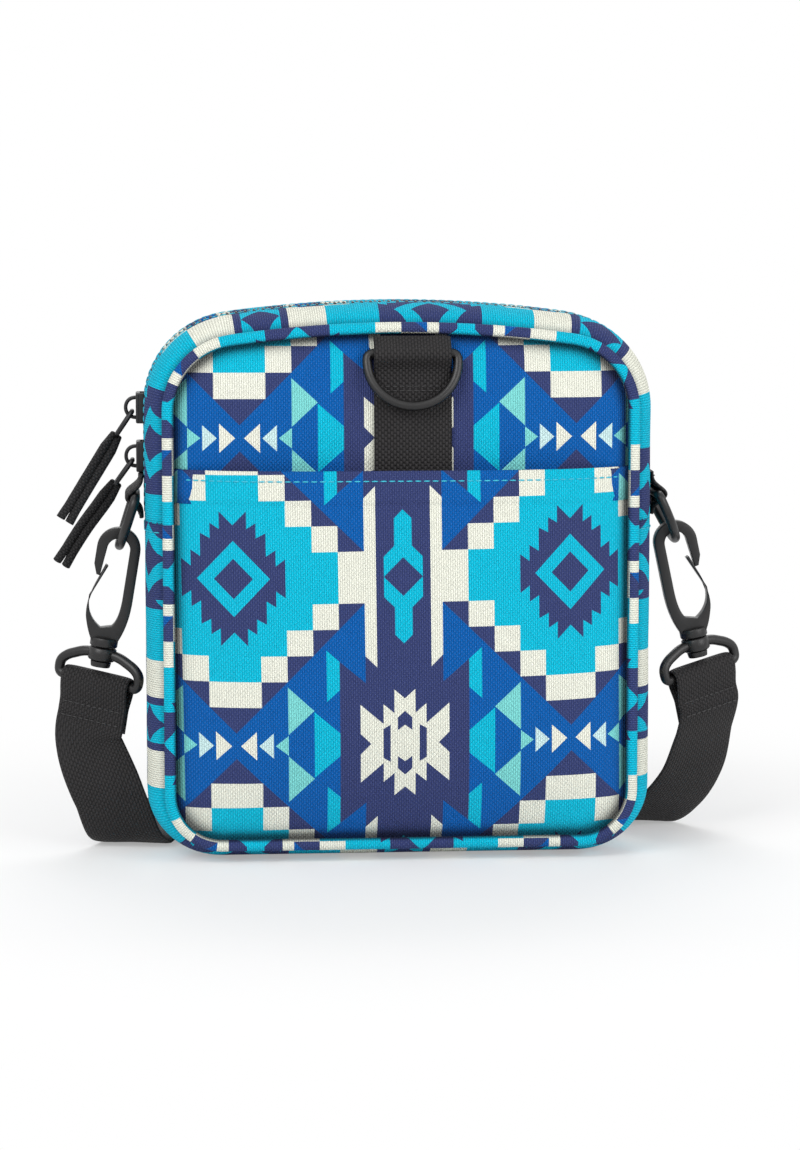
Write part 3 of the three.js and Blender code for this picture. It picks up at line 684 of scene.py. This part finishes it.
for label, end in endSet.items():
    side, bar = end["side"], end["bar"]
    turn = (bar.to_3x3() @ Vector((1, 0, 0))).normalized()
    over = eyeSet["wire"] + eyeSet["fit"] + webSet["thick"] / 2
    fold = [(0.95, -15.5), (0.95, -11), (0.98, -7.4), (2.1, -3.6)]
    fold += [(over * math.cos(t), over * math.sin(t)) for t in [math.pi * k / 10 for k in range(11)]]
    fold += [(-2.1, -3.6), (-0.98, -7.4), (-0.8, -12)]
    points = [bar @ Vector((0, y, z)) for y, z in fold]
    if side < 0:
        points += [bar @ Vector((0, 0, -eyeSet["tail"] - eyeSet["fit"] - 6))]
    points += [Vector((side * (bagSet["halfWidth"] + x), y, webSet["floor"] + z)) for x, y, z in end["fall"]]
    points += [Vector((side * webSet["span"], webSet["near"] + 1.0, webSet["floor"]))]
    run = smoothRun(points, 150)
    for p in run:
        p.z = max(p.z, webSet["floor"])
    lengths = [0.0]
    for a, b in zip(run, run[1:]):
        lengths.append(lengths[-1] + (b - a).length)
    loopEnd, untwist = 46.0, 48.0
    shares = [min(max((s - loopEnd) / untwist, 0.0), 1.0) for s in lengths]
    acrosses = [turn.lerp(Vector((1, 0, 0)), share).normalized() for share in shares]
    piece = finishPiece(webPiece(webRows(run, acrosses)), label + "Strap", webbingBlack, None,
                        ["strap_" + label + "_loop", "strap_" + label + "_run"])
    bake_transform(piece)
    end["strapLength"] = lengths[-1]


# Panels of printed canvas, domed between their seams
panelSet = {
    "front": {"side": -1, "crown": 5.0, "column": 1.8, "row": 84.7, "ripple": 0.35},
    "back": {"side": 1, "crown": 4.0, "column": -3.0, "row": 92.0, "ripple": 0.5},
}


def canvasPanel(spec):
    cols, rows = len(seamRound), 30
    shares = [math.sin(math.pi / 2 * j / rows) for j in range(rows)] + [1.0]

    def spot(i, j):
        p, share = seamRound[i % cols], shares[j]
        inset = 0.0 if j == rows else 2.25
        rim = (p[0] - inset * p[2], p[1] - inset * p[3])
        return rim[0] * share, bagSet["middle"] + (rim[1] - bagSet["middle"]) * share, share

    def place(i, j):
        x, z, share = spot(i, j)
        if j == rows:
            return (x, spec["side"] * 26.2, z)
        lift = spec["crown"] * swell(share) + spec["ripple"] * ripple(x, z, 3.0) * swell(share) - seamDip(share, 1.9)
        return (x, spec["side"] * (28.3 + lift), z)

    def uvAt(i, j):
        x, z, share = spot(i, j)
        return ((-spec["side"] * x - spec["column"]) / printSet["unit"] + 6.5, (z - spec["row"]) / printSet["unit"])

    # the last argument gives the painted shade towards the panel's seam
    bm = gridOn(cols, rows, place, uvAt, lambda i, j: seamDip(shares[j], 1.0))
    bmesh.ops.remove_doubles(bm, verts=bm.verts[:], dist=2e-6)
    bmesh.ops.dissolve_degenerate(bm, edges=bm.edges[:], dist=1e-7)
    faceAwayFrom(bm, (0, 0, 90))
    return bm


for label, spec in panelSet.items():
    piece = finishPiece(canvasPanel(spec), label + "Panel", canvasPrint, "bag", [label + "_panel"])
    thicken(piece, 1.4)
print("panels made")

# Slip pocket with a turned hem at its mouth
pocketSet = {"mouth": 129.0, "hem": 10.0, "belly": 12.2, "column": -0.6, "row": 95.0, "lean": 0.75, "stitchDrop": 3.3}


def pocketHalf(z):
    radius, drop = bagSet["lowCorner"] - 0.4, lowZ - z
    return lowX + (radius if drop <= 0 else math.sqrt(max(radius * radius - drop * drop, 0.0)))


def pocketOuter(x, z, hem=0.7):
    share = min(rimShare(x, z), 1.0)
    full = pocketSet["belly"] * swell(share)
    level = min(max((z - (pocketSet["mouth"] - pocketSet["hem"] - 1.0)) / 1.4, 0.0), 1.0)
    wave = 0.45 * ripple(x, z, 9.0) * swell(share)
    return -(28.3 + full + hem * level * swell(share) + wave - seamDip(share, 1.6))


def pocketCloth():
    low, top = bagSet["floor"] + 0.4, pocketSet["mouth"]
    levels = [low + (top - 12 - low) * (1 - math.cos(math.pi / 2 * j / 34)) for j in range(35)]
    levels += [top - 12 + 0.8 * k for k in range(1, 15)] + [top - 0.25]
    turned = [(top, 0.5), (top - 0.2, 1.6), (top - 1.2, 2.0), (top - 6, 2.1), (top - 11, 2.1)]
    cols, rows = 72, len(levels) + len(turned) - 1

    def spot(i, j):
        z, back = (levels[j], 0.0) if j < len(levels) else turned[j - len(levels)]
        x = math.sin(math.pi / 2 * (2 * i / cols - 1)) * pocketHalf(z)
        return x, z, back

    def place(i, j):
        x, z, back = spot(i, j)
        return (x, pocketOuter(x, min(z, top)) + back * swell(min(rimShare(x, z), 1.0)), z)

    def uvAt(i, j):
        x, z, back = spot(i, j)
        turn = math.radians(pocketSet["lean"])
        flat = 2 * top - z if back > 0 else z
        a, b = x - pocketSet["column"], flat - pocketSet["row"]
        return ((a * math.cos(turn) + b * math.sin(turn)) / printSet["unit"] + 6.5,
                (b * math.cos(turn) - a * math.sin(turn)) / printSet["unit"])

    # painted shade towards the pocket's seam
    def paintedSeamShadeAt(i, j):
        x, z, back = spot(i, j)
        return seamDip(rimShare(x, z), 1.0)

    bm = gridOn(cols, rows, place, uvAt, paintedSeamShadeAt)
    faceAwayFrom(bm, (0, 0, 60))
    return bm


pocketPiece = finishPiece(pocketCloth(), "frontPocket", canvasPrint, "bag", ["front_pocket"])
thicken(pocketPiece, 0.5)
print("pocket made")

# Piping round both seams, covered in strips of the same canvas
pipingSet = {"front": {"side": -1, "start": (2.1, 0.1)}, "back": {"side": 1, "start": (7.4, 3.2)}}
for label, spec in pipingSet.items():
    path = [Vector((p[0], spec["side"] * bagSet["seamY"], p[1])) for p in seamRound]
    cord = roundSection(bagSet["piping"], 24)

    # painted shade on the sides of the cord that turn into the seam
    def paintedSeamShadeAt(i, j, cord=cord, side=spec["side"]):
        out, deep = cord[i % 24]
        return (max(-out, -side * deep) / bagSet["piping"] - 0.5) / 0.42

    bm = sweep(planeRows(path, Vector((0, 1, 0))), cord, True, spec["start"], printSet["unit"], paintedSeamShadeAt)
    finishPiece(bm, label + "Piping", canvasPrint, "bag", [label + "_piping"])

# Gusset bands: a rounded section carried along the seam
gussetSet = {
    "zipGussetFront": {"node": "zip_gusset_front", "upper": True, "from": -26.6, "to": -6.5,
                       "start": 26.0, "row": -21.0},
    "zipGussetBack": {"node": "zip_gusset_back", "upper": True, "from": 6.5, "to": 26.6,
                      "start": 26.0, "row": 21.0},
    "lowerGusset": {"node": "lower_gusset", "upper": False, "from": -26.6, "to": 26.6,
                    "start": 336.0, "row": -19.0},
}
shoulder = [(26.6, -1.6), (26.0, -1.0), (25.4, 0.2), (24.6, 2.2), (23.6, 3.8),
            (21.9, 5.2), (19.6, 6.3), (17.0, 7.0), (14.3, 7.4)]


def bandHeight(y):
    y = abs(y)
    if y <= 14.3:
        return 7.4
    for (a, na), (b, nb) in zip(shoulder, shoulder[1:]):
        if b <= y <= a:
            return nb + (na - nb) * (y - b) / (a - b)
    return shoulder[0][1]


def baseShrink(nz):
    return 1 - (1 - bagSet["floor"] / bagSet["bulge"]) * max(0.0, -nz) ** 2


def bandSpot(p, y, lift=0.0):
    height = bandHeight(y) * baseShrink(p[3]) + lift
    return (p[0] + p[2] * height, y, p[1] + p[3] * height)


def seamRuns(path):
    runs = [0.0]
    for a, b in zip(path, path[1:]):
        runs.append(runs[-1] + math.hypot(b[0] - a[0], b[1] - a[1]))
    return runs


def bandGrid(path, ys, lift, uvAt):
    # the last argument paints shade on the band's edges next to the piping
    bm = gridOn(len(path) - 1, len(ys) - 1, lambda i, j: bandSpot(path[i], ys[j], lift(i, j)), uvAt,
                lambda i, j: (abs(ys[j]) - 23.6) / 2.2)
    faceAwayFrom(bm, (0, 0, 90))
    return bm


for label, spec in gussetSet.items():
    path = upperSeam(bagSet["sideSeam"] - 0.2) if spec["upper"] else lowerSeam(bagSet["sideSeam"] + 0.3)
    runs = seamRuns(path)
    count = 30 if spec["upper"] else 56
    ys = [spec["from"] + (spec["to"] - spec["from"]) * j / count for j in range(count + 1)]

    def lift(i, j, path=path, ys=ys, spec=spec):
        wave = 0.22 * ripple(path[i][0] + path[i][1], ys[j] * 1.4, 5.0, 22.0) if path[i][3] > -0.3 else 0.0
        nearZip = min(abs(ys[j] - spec["from"]), abs(ys[j] - spec["to"]), 1.2) if spec["upper"] else 1.2
        edge = 0.35 * (1.2 - nearZip) if spec["upper"] and abs(ys[j]) < 9 else 0.0
        return wave * (1 if abs(ys[j]) < 22 else 0) - edge

    def uvAt(i, j, ys=ys, runs=runs, spec=spec):
        return ((runs[i] - spec["start"]) / printSet["unit"], (ys[j] - spec["row"]) / printSet["unit"])

    piece = finishPiece(bandGrid(path, ys, lift, uvAt), label, canvasPrint, "bag", [spec["node"]])
    thicken(piece, 1.6)
print("gussets and piping made")

# Zip: two tapes under the strips and a row of coil turns on each
zipSet = {"tapeTop": 5.3, "pitch": 1.45, "coilFrom": 126.0}
for label, side in (("front", -1), ("back", 1)):
    path = upperSeam(bagSet["sideSeam"] + 0.2)
    runs = seamRuns(path)
    ys = [side * (0.6 + 11.0 * j / 10) for j in range(11)]
    bm = bandGrid(path, ys, lambda i, j: zipSet["tapeTop"] - bagSet["bulge"], lambda i, j: (abs(ys[j]), runs[i]))
    piece = finishPiece(bm, "zipTape" + label.title(), tapeBlack, "bag", ["zipper_tape_" + label])
    thicken(piece, 0.8)
    bm = bmesh.new()
    coilPath = upperSeam(zipSet["coilFrom"])
    coilRuns = seamRuns(coilPath)
    turns = int(coilRuns[-1] / zipSet["pitch"])
    k = 0
    for t in range(turns + 1):
        want = coilRuns[-1] * t / turns
        while k < len(coilPath) - 2 and coilRuns[k + 1] < want:
            k += 1
        share = (want - coilRuns[k]) / (coilRuns[k + 1] - coilRuns[k])
        p = [a + (b - a) * share for a, b in zip(coilPath[k], coilPath[k + 1])]
        out = Vector((p[2], 0, p[3])).normalized()
        mid = Vector((p[0], side * 1.75, p[1])) + out * 6.65
        addBall(bm, mid, Vector((0, 1, 0)), out, (2.6, 1.25, 2.2))
    finishPiece(bm, "zipCoil" + label.title(), coilBlack, "bag", ["zipper_coil_" + label])
print("zip made")

# Front webbing with its ring, and the side tabs
tabSet = {"x": 3.0, "barZ": 166.0, "top": 171.2, "foot": 118.0, "lean": 19.0, "pinchZ": 155.5}
frontBarY = frontFace(tabSet["x"], tabSet["barZ"]) - 0.4 - ringSet["wire"]


def humpAt(d, reach):
    return math.exp(-((d / reach) ** 2))


def frontTabPoint(z):
    rise = frontFace(tabSet["x"], tabSet["barZ"]) - 0.3 - (frontBarY - ringSet["wire"] - 0.7)
    return frontFace(tabSet["x"], z) - 0.3 - rise * humpAt(z - tabSet["barZ"], 3.6) - webSet["thick"] / 2


heights = [tabSet["top"] + (tabSet["foot"] - tabSet["top"]) * k / 90 for k in range(91)]
tabPoints = [Vector((tabSet["x"], frontTabPoint(z), z)) for z in heights]
frontRows = webRows(tabPoints, [Vector((1, 0, 0))] * len(tabPoints))
finishPiece(webPiece(frontRows), "frontWebbing", webbingBlack, "bag",
            ["front_webbing"])
for label, side in (("left", -1), ("right", 1)):
    foot = bagSet["halfWidth"] + bagSet["bulge"] + 0.3 + webSet["thick"] / 2
    rise = ringSet["barX"] + ringSet["wire"] + 0.4 - (foot - webSet["thick"] / 2)
    drops = [-6.5 + 14.0 * k / 40 for k in range(41)]
    points = [Vector((side * (foot + rise * humpAt(d, 3.1)), 0, ringSet["barZ"] + d)) for d in drops]
    finishPiece(webPiece(webRows(points, [Vector((0, 1, 0))] * len(points))), label + "Tab", webbingBlack, "bag",
                [label + "_tab"])


def ringWire(place):
    half, drop = ringSet["half"], ringSet["drop"]
    turns = [math.pi * k / 40 for k in range(41)]
    bow = [Vector((half * math.cos(t), 0, half - drop - half * math.sin(t))) for t in turns]
    left = [Vector((-half, 0, half - drop)), Vector((-half, 0, 0)), Vector((0, 0, 0)),
            Vector((half, 0, 0)), Vector((half, 0, half - drop))]
    bend = []
    for here, before, after in ((left[1], left[0], left[2]), (left[3], left[2], left[4])):
        a, b = (before - here).normalized() * 2.4, (after - here).normalized() * 2.4
        bend.append([here + a * (1 - t) ** 2 + b * t * t for t in [k / 6 for k in range(7)]])
    loop = bend[0] + [Vector((-6, 0, 0)), Vector((0, 0, 0)), Vector((6, 0, 0))] + bend[1] + bow
    rows = planeRows(loop, Vector((0, 1, 0)))
    turn = place.to_3x3()
    rows = [(place @ at, turn @ wide, turn @ thin) for at, wide, thin in rows]
    return sweep(rows, roundSection(ringSet["wire"], 16), True)


frontRingPlace = Matrix.Translation((tabSet["x"], frontBarY, tabSet["barZ"])) @ about("X", -tabSet["lean"])
finishPiece(ringWire(frontRingPlace), "frontRing", plasticBlack, "front_ring", ["front_ring"])
for label, end in endSet.items():
    finishPiece(ringWire(end["ring"]), label + "Ring", plasticBlack, label + "_link", [label + "_ring"])
print("rings made")


# Snap hooks: one moulded piece with a thin sprung tongue, a collar and a split stud
def bend(a, c, b, steps=10):
    return [a * (1 - t) ** 2 + c * 2 * t * (1 - t) + b * t * t for t in [(k + 1) / steps for k in range(steps)]]


def hookOutline():
    r, length = hookSet["bowHalf"], hookSet["length"]
    inner, bowZ = r - hookSet["stem"] - 0.2, length - r
    flat = lambda x, z: Vector((x, 0, z))
    path = [flat(-3.4, 0.4)]
    path += bend(path[-1], flat(-r - 0.1, 7), flat(-r, 17))
    path += [flat(r * math.cos(t), bowZ + r * math.sin(t)) for t in [math.pi * (1 - k / 20) for k in range(21)]]
    path += [flat(r, length - 13), flat(r - 1.2, length - 16.4), flat(r - 2.4, length - 16.6)]
    turns = [math.pi * k / 16 for k in range(17)]
    path += [flat(inner * math.cos(t), bowZ - 0.2 + inner * math.sin(t)) for t in turns]
    path += [flat(-inner, 17)]
    path += bend(path[-1], flat(-inner, 9.5), flat(-1.6, 7.2))
    path += [flat(2, 6.2)]
    path += bend(path[-1], flat(r + 0.2, 9.5), flat(r - 0.2, 16))
    path += [flat(inner - 1.3, length - 13.2), flat(inner - 0.4, length - 12.8), flat(r - 2.1, length - 17.6)]
    path += bend(path[-1], flat(r + 1.6, 13), flat(r - 0.4, 7.6))
    path += bend(path[-1], flat(5.4, 3), flat(3.4, 0.4))
    return path


def snapHook(place):
    bm = bmesh.new()
    half = hookSet["thick"] / 2
    face = bm.faces.new([bm.verts.new((p + Vector((0, -half, 0))) * mm) for p in hookOutline()])
    made = bmesh.ops.extrude_face_region(bm, geom=[face])["geom"]
    raised = [g for g in made if isinstance(g, bmesh.types.BMVert)]
    bmesh.ops.translate(bm, vec=(0, hookSet["thick"] * mm, 0), verts=raised)
    bmesh.ops.recalc_face_normals(bm, faces=bm.faces[:])
    rims = [e for e in bm.edges if max(len(f.verts) for f in e.link_faces) > 4]
    bmesh.ops.bevel(bm, geom=rims, offset=0.28 * mm, affect="EDGES", segments=2, profile=0.5, material=-1,
                    clamp_overlap=True)
    bmesh.ops.triangulate(bm, faces=[f for f in bm.faces if len(f.verts) > 4])
    head = eyeSet["collar"] + 2 * eyeSet["fit"]
    addDrum(bm, hookSet["collar"], hookSet["collar"], 0, 3.0, 0.5)
    addDrum(bm, hookSet["stud"], hookSet["stud"], -head, 1.0, 0.1)
    for side in (-1, 1):
        turn = Matrix.Translation((side * 0.55 * mm, 0, 0))
        addDrum(bm, hookSet["stud"] + 0.4, hookSet["stud"] + 0.75, -head - 2.0, -head, 0.35, turn)
    move = place.copy()
    move.translation = place.translation * mm
    bmesh.ops.transform(bm, matrix=move, verts=bm.verts[:])
    return bm


def swivelEye(place):
    half = webSet["width"] / 2 + 0.7 + eyeSet["wire"]
    drop, shoulderZ = eyeSet["drop"], -eyeSet["fit"] - eyeSet["collar"] / 2
    flat = lambda x, z: Vector((x, 0, z))
    loop = [flat(-half, -drop), flat(half, -drop), flat(half, -drop + 4.4), flat(half - 2.4, -drop + 6.6), flat(6.2, shoulderZ),
            flat(-6.2, shoulderZ), flat(-half + 2.4, -drop + 6.6), flat(-half, -drop + 4.4)]
    bm = sweep(planeRows(softCorners(loop, 2.6, 6), Vector((0, 1, 0))), roundSection(eyeSet["wire"], 16), True)
    # the collar turns on the stud, so it is a ring spun round it
    bore, outer = hookSet["stud"] + 0.3, hookSet["collar"]
    section = [(bore, shoulderZ - 2.2), (outer - 0.5, shoulderZ - 2.2), (outer, shoulderZ - 1.7),
               (outer, shoulderZ + 1.7), (outer - 0.5, shoulderZ + 2.2), (bore, shoulderZ + 2.2)]
    verts = [bm.verts.new((r * mm, 0, z * mm)) for r, z in section]
    edges = [bm.edges.new((verts[k - 1], verts[k])) for k in range(len(verts))]
    bmesh.ops.spin(bm, geom=verts + edges, cent=(0, 0, 0), axis=(0, 0, 1), angle=2 * math.pi, steps=32,
                   use_merge=True)
    bmesh.ops.recalc_face_normals(bm, faces=bm.faces[:])
    move = place.copy()
    move.translation = place.translation * mm
    bmesh.ops.transform(bm, matrix=move, verts=bm.verts[:])
    return bm


for label, end in endSet.items():
    finishPiece(snapHook(end["hook"]), label + "Hook", plasticBlack, label + "_hook", [label + "_hook"])
    finishPiece(swivelEye(end["eye"]), label + "Eye", plasticBlack, label + "_link", [label + "_eye"])
print("hooks and eyes made")

# Zip sliders with wire pulls and knitted tapes
pullSet = {
    "upper": {"z": cornerZ, "lean": 34.0, "run": [(-4.5, -5, -7), (-10.5, -8.5, -16.5), (-17, -11, -27)]},
    "lower": {"z": 130.9, "lean": 36.0, "run": [(-5, 4.5, -7.5), (-11, 9, -16), (-18.5, 11.5, -28)]},
}
sliderSet = {"half": 5.0, "wingTop": 8.5, "crown": 14.1, "wire": 0.75, "pull": 9.5, "tapeWide": 5.6}


def zipSlider(z):
    bm = bmesh.new()
    wing, crown, half = sliderSet["wingTop"], sliderSet["crown"], sliderSet["half"]
    move = Matrix.Translation((-bagSet["halfWidth"] * mm, 0, z * mm))
    block = lambda x0, x1, y0, y1, z0, z1, soft: addBlock(bm, (-x1, y0, z0), (-x0, y1, z1), soft, move)
    block(wing, wing + 1.6, -5, 5, -half, half, 0.55)
    block(5.9, wing + 1, -5, -3.6, -half, half, 0.4)
    block(5.9, wing + 1, 3.6, 5, -half, half, 0.4)
    block(2.4, 3.6, -4.4, 4.4, -half, half, 0.3)
    block(3.2, wing + 0.4, -0.32, 0.32, -1.6, 1.6, 0.1)
    # bridge for the pull: a bent strip standing on the plate
    turns = [math.pi * k / 24 for k in range(25)]
    rise = crown - wing - 1.5
    bow = [Vector((-bagSet["halfWidth"] - wing - 0.8 - rise * math.sin(t) ** 0.7, 0, z + 3.3 * math.cos(t)))
           for t in turns]
    joinPart(bm, sweep(planeRows(bow, Vector((0, 1, 0)), False), ovalSection(0.62, 1.3, 3.0, 4.0, 16)))
    return bm


def pullWire(hang):
    half, length = 3.0, sliderSet["pull"]
    flat = lambda y, z: Vector((0, y, z))
    loop = [flat(-half, 0), flat(half, 0), flat(half + 0.3, -length * 0.5), flat(half - 0.4, -length + 0.8), flat(half - 1.6, -length),
            flat(-half + 1.6, -length), flat(-half + 0.4, -length + 0.8), flat(-half - 0.3, -length * 0.5)]
    rows = planeRows(softCorners(loop, 1.2, 4), Vector((1, 0, 0)))
    turn = hang.to_3x3()
    hung = [(hang @ at, turn @ wide, turn @ thin) for at, wide, thin in rows]
    return sweep(hung, roundSection(sliderSet["wire"], 10), True)


def pullTape(points):
    run = smoothRun(points, 40)
    flat = Vector((0, 1, 0))
    bm = bmesh.new()
    for side in (-1, 1):
        rows = []
        for k, at in enumerate(run):
            along = (run[min(k + 1, 40)] - run[max(k - 1, 0)]).normalized()
            wide = along.cross(flat).normalized()
            thin = wide.cross(along).normalized()
            sway = 0.12 * math.sin(k * 0.9 + side)
            fray = 1.0 + (0.18 * max(0.0, k - 34) / 6)
            gather = 0.72 + 0.28 * min(1.0, k / 7)
            rows.append((at + wide * side * (1.4 * fray * gather) + thin * sway, wide * gather, thin * gather))
        turns = [2 * math.pi * q / 14 for q in range(14)]
        lobes = [(1.42 * math.cos(t) * (1 + 0.05 * math.cos(6 * t)), 1.35 * math.sin(t)) for t in turns]
        joinPart(bm, sweep(rows, lobes))
    return bm, run


for label, spec in pullSet.items():
    hangX = -(bagSet["halfWidth"] + sliderSet["wingTop"] + 1.7 + sliderSet["wire"] + 0.35)
    hang = Matrix.Translation((hangX, 0, spec["z"] - 1.3)) @ about("Y", spec["lean"])
    finishPiece(zipSlider(spec["z"]), label + "Slider", sliderBlack, label + "_slider", [label + "_slider"])
    finishPiece(pullWire(hang), label + "Pull", sliderBlack, label + "_pull", [label + "_pull"])
    start = hang @ Vector((0, 0, -sliderSet["pull"] + 0.2))
    bm, run = pullTape([start] + [start + Vector(p) for p in spec["run"]])
    tape = finishPiece(bm, label + "PullTape", braidBlack, label + "_pull", [label + "_pull_cord"])
    runLength = sum((b - a).length for a, b in zip(run, run[1:]))
print("zip pulls made")


# Stitching: short thread ends standing on the cloth
def stitchLine(bm, points, outs, pitch, size):
    runs = [0.0]
    for a, b in zip(points, points[1:]):
        runs.append(runs[-1] + (b - a).length)
    count = max(1, int(runs[-1] / pitch))
    k = 0
    for t in range(count):
        want = (t + 0.5) * runs[-1] / count
        while k < len(points) - 2 and runs[k + 1] < want:
            k += 1
        share = (want - runs[k]) / max(runs[k + 1] - runs[k], 1e-9)
        at = points[k].lerp(points[k + 1], share)
        addBall(bm, at + outs[k] * 0.08, points[k + 1] - points[k], outs[k], size)


threadSize = (2.3, 0.5, 0.42)
bm = bmesh.new()
stitchZ = pocketSet["mouth"] - pocketSet["stitchDrop"]
rowXs = [-72.0 + 144.0 * k / 120 for k in range(121)]
rowPoints = [Vector((x, pocketOuter(x, stitchZ), stitchZ)) for x in rowXs]
stitchLine(bm, rowPoints, [Vector((0, -1, 0))] * 121, 2.75, threadSize)
finishPiece(bm, "pocketStitching", threadCyan, "bag")
bm = bmesh.new()
path = upperSeam(bagSet["sideSeam"] + 2.0)
for y in (-9.0, 9.0):
    outs = [Vector((p[2], 0, p[3])) for p in path]
    stitchLine(bm, [Vector(bandSpot(p, y, 0.05)) for p in path], outs, 2.9, threadSize)
for side in (-1, 1):
    p = (side * bagSet["halfWidth"], bagSet["sideSeam"] - 3.0, float(side), 0.0)
    ys = [-24.5 + 49.0 * k / 60 for k in range(61)]
    stitchLine(bm, [Vector(bandSpot(p, y, 0.1)) for y in ys], [Vector((side, 0, 0))] * 61, 2.8, threadSize)
finishPiece(bm, "gussetStitching", threadCyan, "bag")
bm = bmesh.new()
for z in (tabSet["pinchZ"], tabSet["pinchZ"] - 1.4):
    offsets = [-11.5 + 23.0 * k / 20 for k in range(21)]
    row = [Vector((tabSet["x"] + x, frontTabPoint(z) - webSet["thick"] / 2, z)) for x in offsets]
    stitchLine(bm, row, [Vector((0, -1, 0))] * 21, 2.1, (1.9, 0.5, 0.4))
for side in (-1, 1):
    for d in (-5.2, 6.2):
        x = side * (bagSet["halfWidth"] + bagSet["bulge"] + 0.35 + webSet["thick"] + (1.6 * humpAt(d, 3.1)))
        row = [Vector((x, y, ringSet["barZ"] + d)) for y in [-11.5 + 23.0 * k / 20 for k in range(21)]]
        stitchLine(bm, row, [Vector((side, 0, 0))] * 21, 2.1, (1.9, 0.5, 0.4))
finishPiece(bm, "webbingStitching", threadBlack, "bag")
for label, end in endSet.items():
    bm = bmesh.new()
    turn = end["bar"].to_3x3()
    for out, depth in ((-1, -1.62), (1, 1.75)):
        for z in (-8.6, -13.2):
            row = [end["bar"] @ Vector((x, depth, z)) for x in [-11.0 + 22.0 * k / 20 for k in range(21)]]
            stitchLine(bm, row, [turn @ Vector((0, out, 0))] * 21, 2.1, (1.9, 0.5, 0.4))
    finishPiece(bm, label + "StrapStitching", threadBlack, label + "_link")
print("stitching made")

# Studio: white sweep, a broad key from the upper left, fill from the right and the front
stageSet = {"floor": 6.0, "tone": (0.92, 0.92, 0.92, 1.0)}
bm = bmesh.new()
bmesh.ops.create_grid(bm, x_segments=8, y_segments=8, size=stageSet["floor"] / 2)
bmesh.ops.translate(bm, vec=(0, 0, -0.0004), verts=bm.verts[:])
floorMesh = bpy.data.meshes.new("studioFloor")
bm.to_mesh(floorMesh)
bm.free()
studioFloor = bpy.data.objects.new("studioFloor", floorMesh)
scene.collection.objects.link(studioFloor)
floorMat, tree, skin = newMaterial("studioPaper")
skin.inputs["Base Color"].default_value = stageSet["tone"]
skin.inputs["Roughness"].default_value = 0.9
# away from the bag the paper runs into plain white for the camera
where = tree.nodes.new("ShaderNodeTexCoord")
reach = tree.nodes.new("ShaderNodeVectorMath")
reach.operation = "LENGTH"
tree.links.new(where.outputs["Object"], reach.inputs[0])
fade = tree.nodes.new("ShaderNodeMapRange")
fade.interpolation_type = "SMOOTHSTEP"
fade.inputs["From Min"].default_value = 0.08
fade.inputs["From Max"].default_value = 0.3
fade.inputs["To Min"].default_value = 0.35
tree.links.new(reach.outputs["Value"], fade.inputs["Value"])
rays = tree.nodes.new("ShaderNodeLightPath")
white = tree.nodes.new("ShaderNodeEmission")
mixed = tree.nodes.new("ShaderNodeMixShader")
seen = calc(tree, "MAXIMUM", rays.outputs["Is Camera Ray"], rays.outputs["Is Glossy Ray"])
tree.links.new(calc(tree, "MULTIPLY", fade.outputs[0], seen), mixed.inputs[0])
tree.links.new(skin.outputs[0], mixed.inputs[1])
tree.links.new(white.outputs[0], mixed.inputs[2])
tree.links.new(mixed.outputs[0], next(n for n in tree.nodes if n.type == "OUTPUT_MATERIAL").inputs[0])
floorMesh.materials.append(floorMat)


def softLamp(name, place, aim, size, power):
    data = bpy.data.lights.new(name, "AREA")
    data.shape = "RECTANGLE"
    data.size, data.size_y = size
    data.energy = power
    lamp = bpy.data.objects.new(name, data)
    lamp.location = place
    lamp.rotation_euler = (Vector(aim) - Vector(place)).to_track_quat("-Z", "Y").to_euler()
    scene.collection.objects.link(lamp)


softLamp("keyLamp", (-0.75, -1.0, 1.05), (0, 0, 0.09), (0.9, 0.9), 13.0)
softLamp("fillLamp", (0.95, -0.9, 0.6), (0, 0, 0.09), (0.9, 0.9), 8.0)
softLamp("backLamp", (0.1, 0.9, 1.1), (0, 0, 0.08), (1.0, 0.7), 7.0)
world = bpy.data.worlds.new("studioWorld")
scene.world = world
world.use_nodes = True
tree = world.node_tree
tree.nodes.clear()
rays = tree.nodes.new("ShaderNodeLightPath")
sky = tree.nodes.new("ShaderNodeBackground")
sky.inputs[0].default_value = (1, 1, 1, 1)
bounced = calc(tree, "MAXIMUM", rays.outputs["Is Glossy Ray"], rays.outputs["Is Transmission Ray"])
seen = calc(tree, "MAXIMUM", rays.outputs["Is Camera Ray"], bounced)
tree.links.new(spread(tree, seen, 0.42, 1.0), sky.inputs[1])
skyOut = tree.nodes.new("ShaderNodeOutputWorld")
tree.links.new(sky.outputs[0], skyOut.inputs[0])
print("studio made")
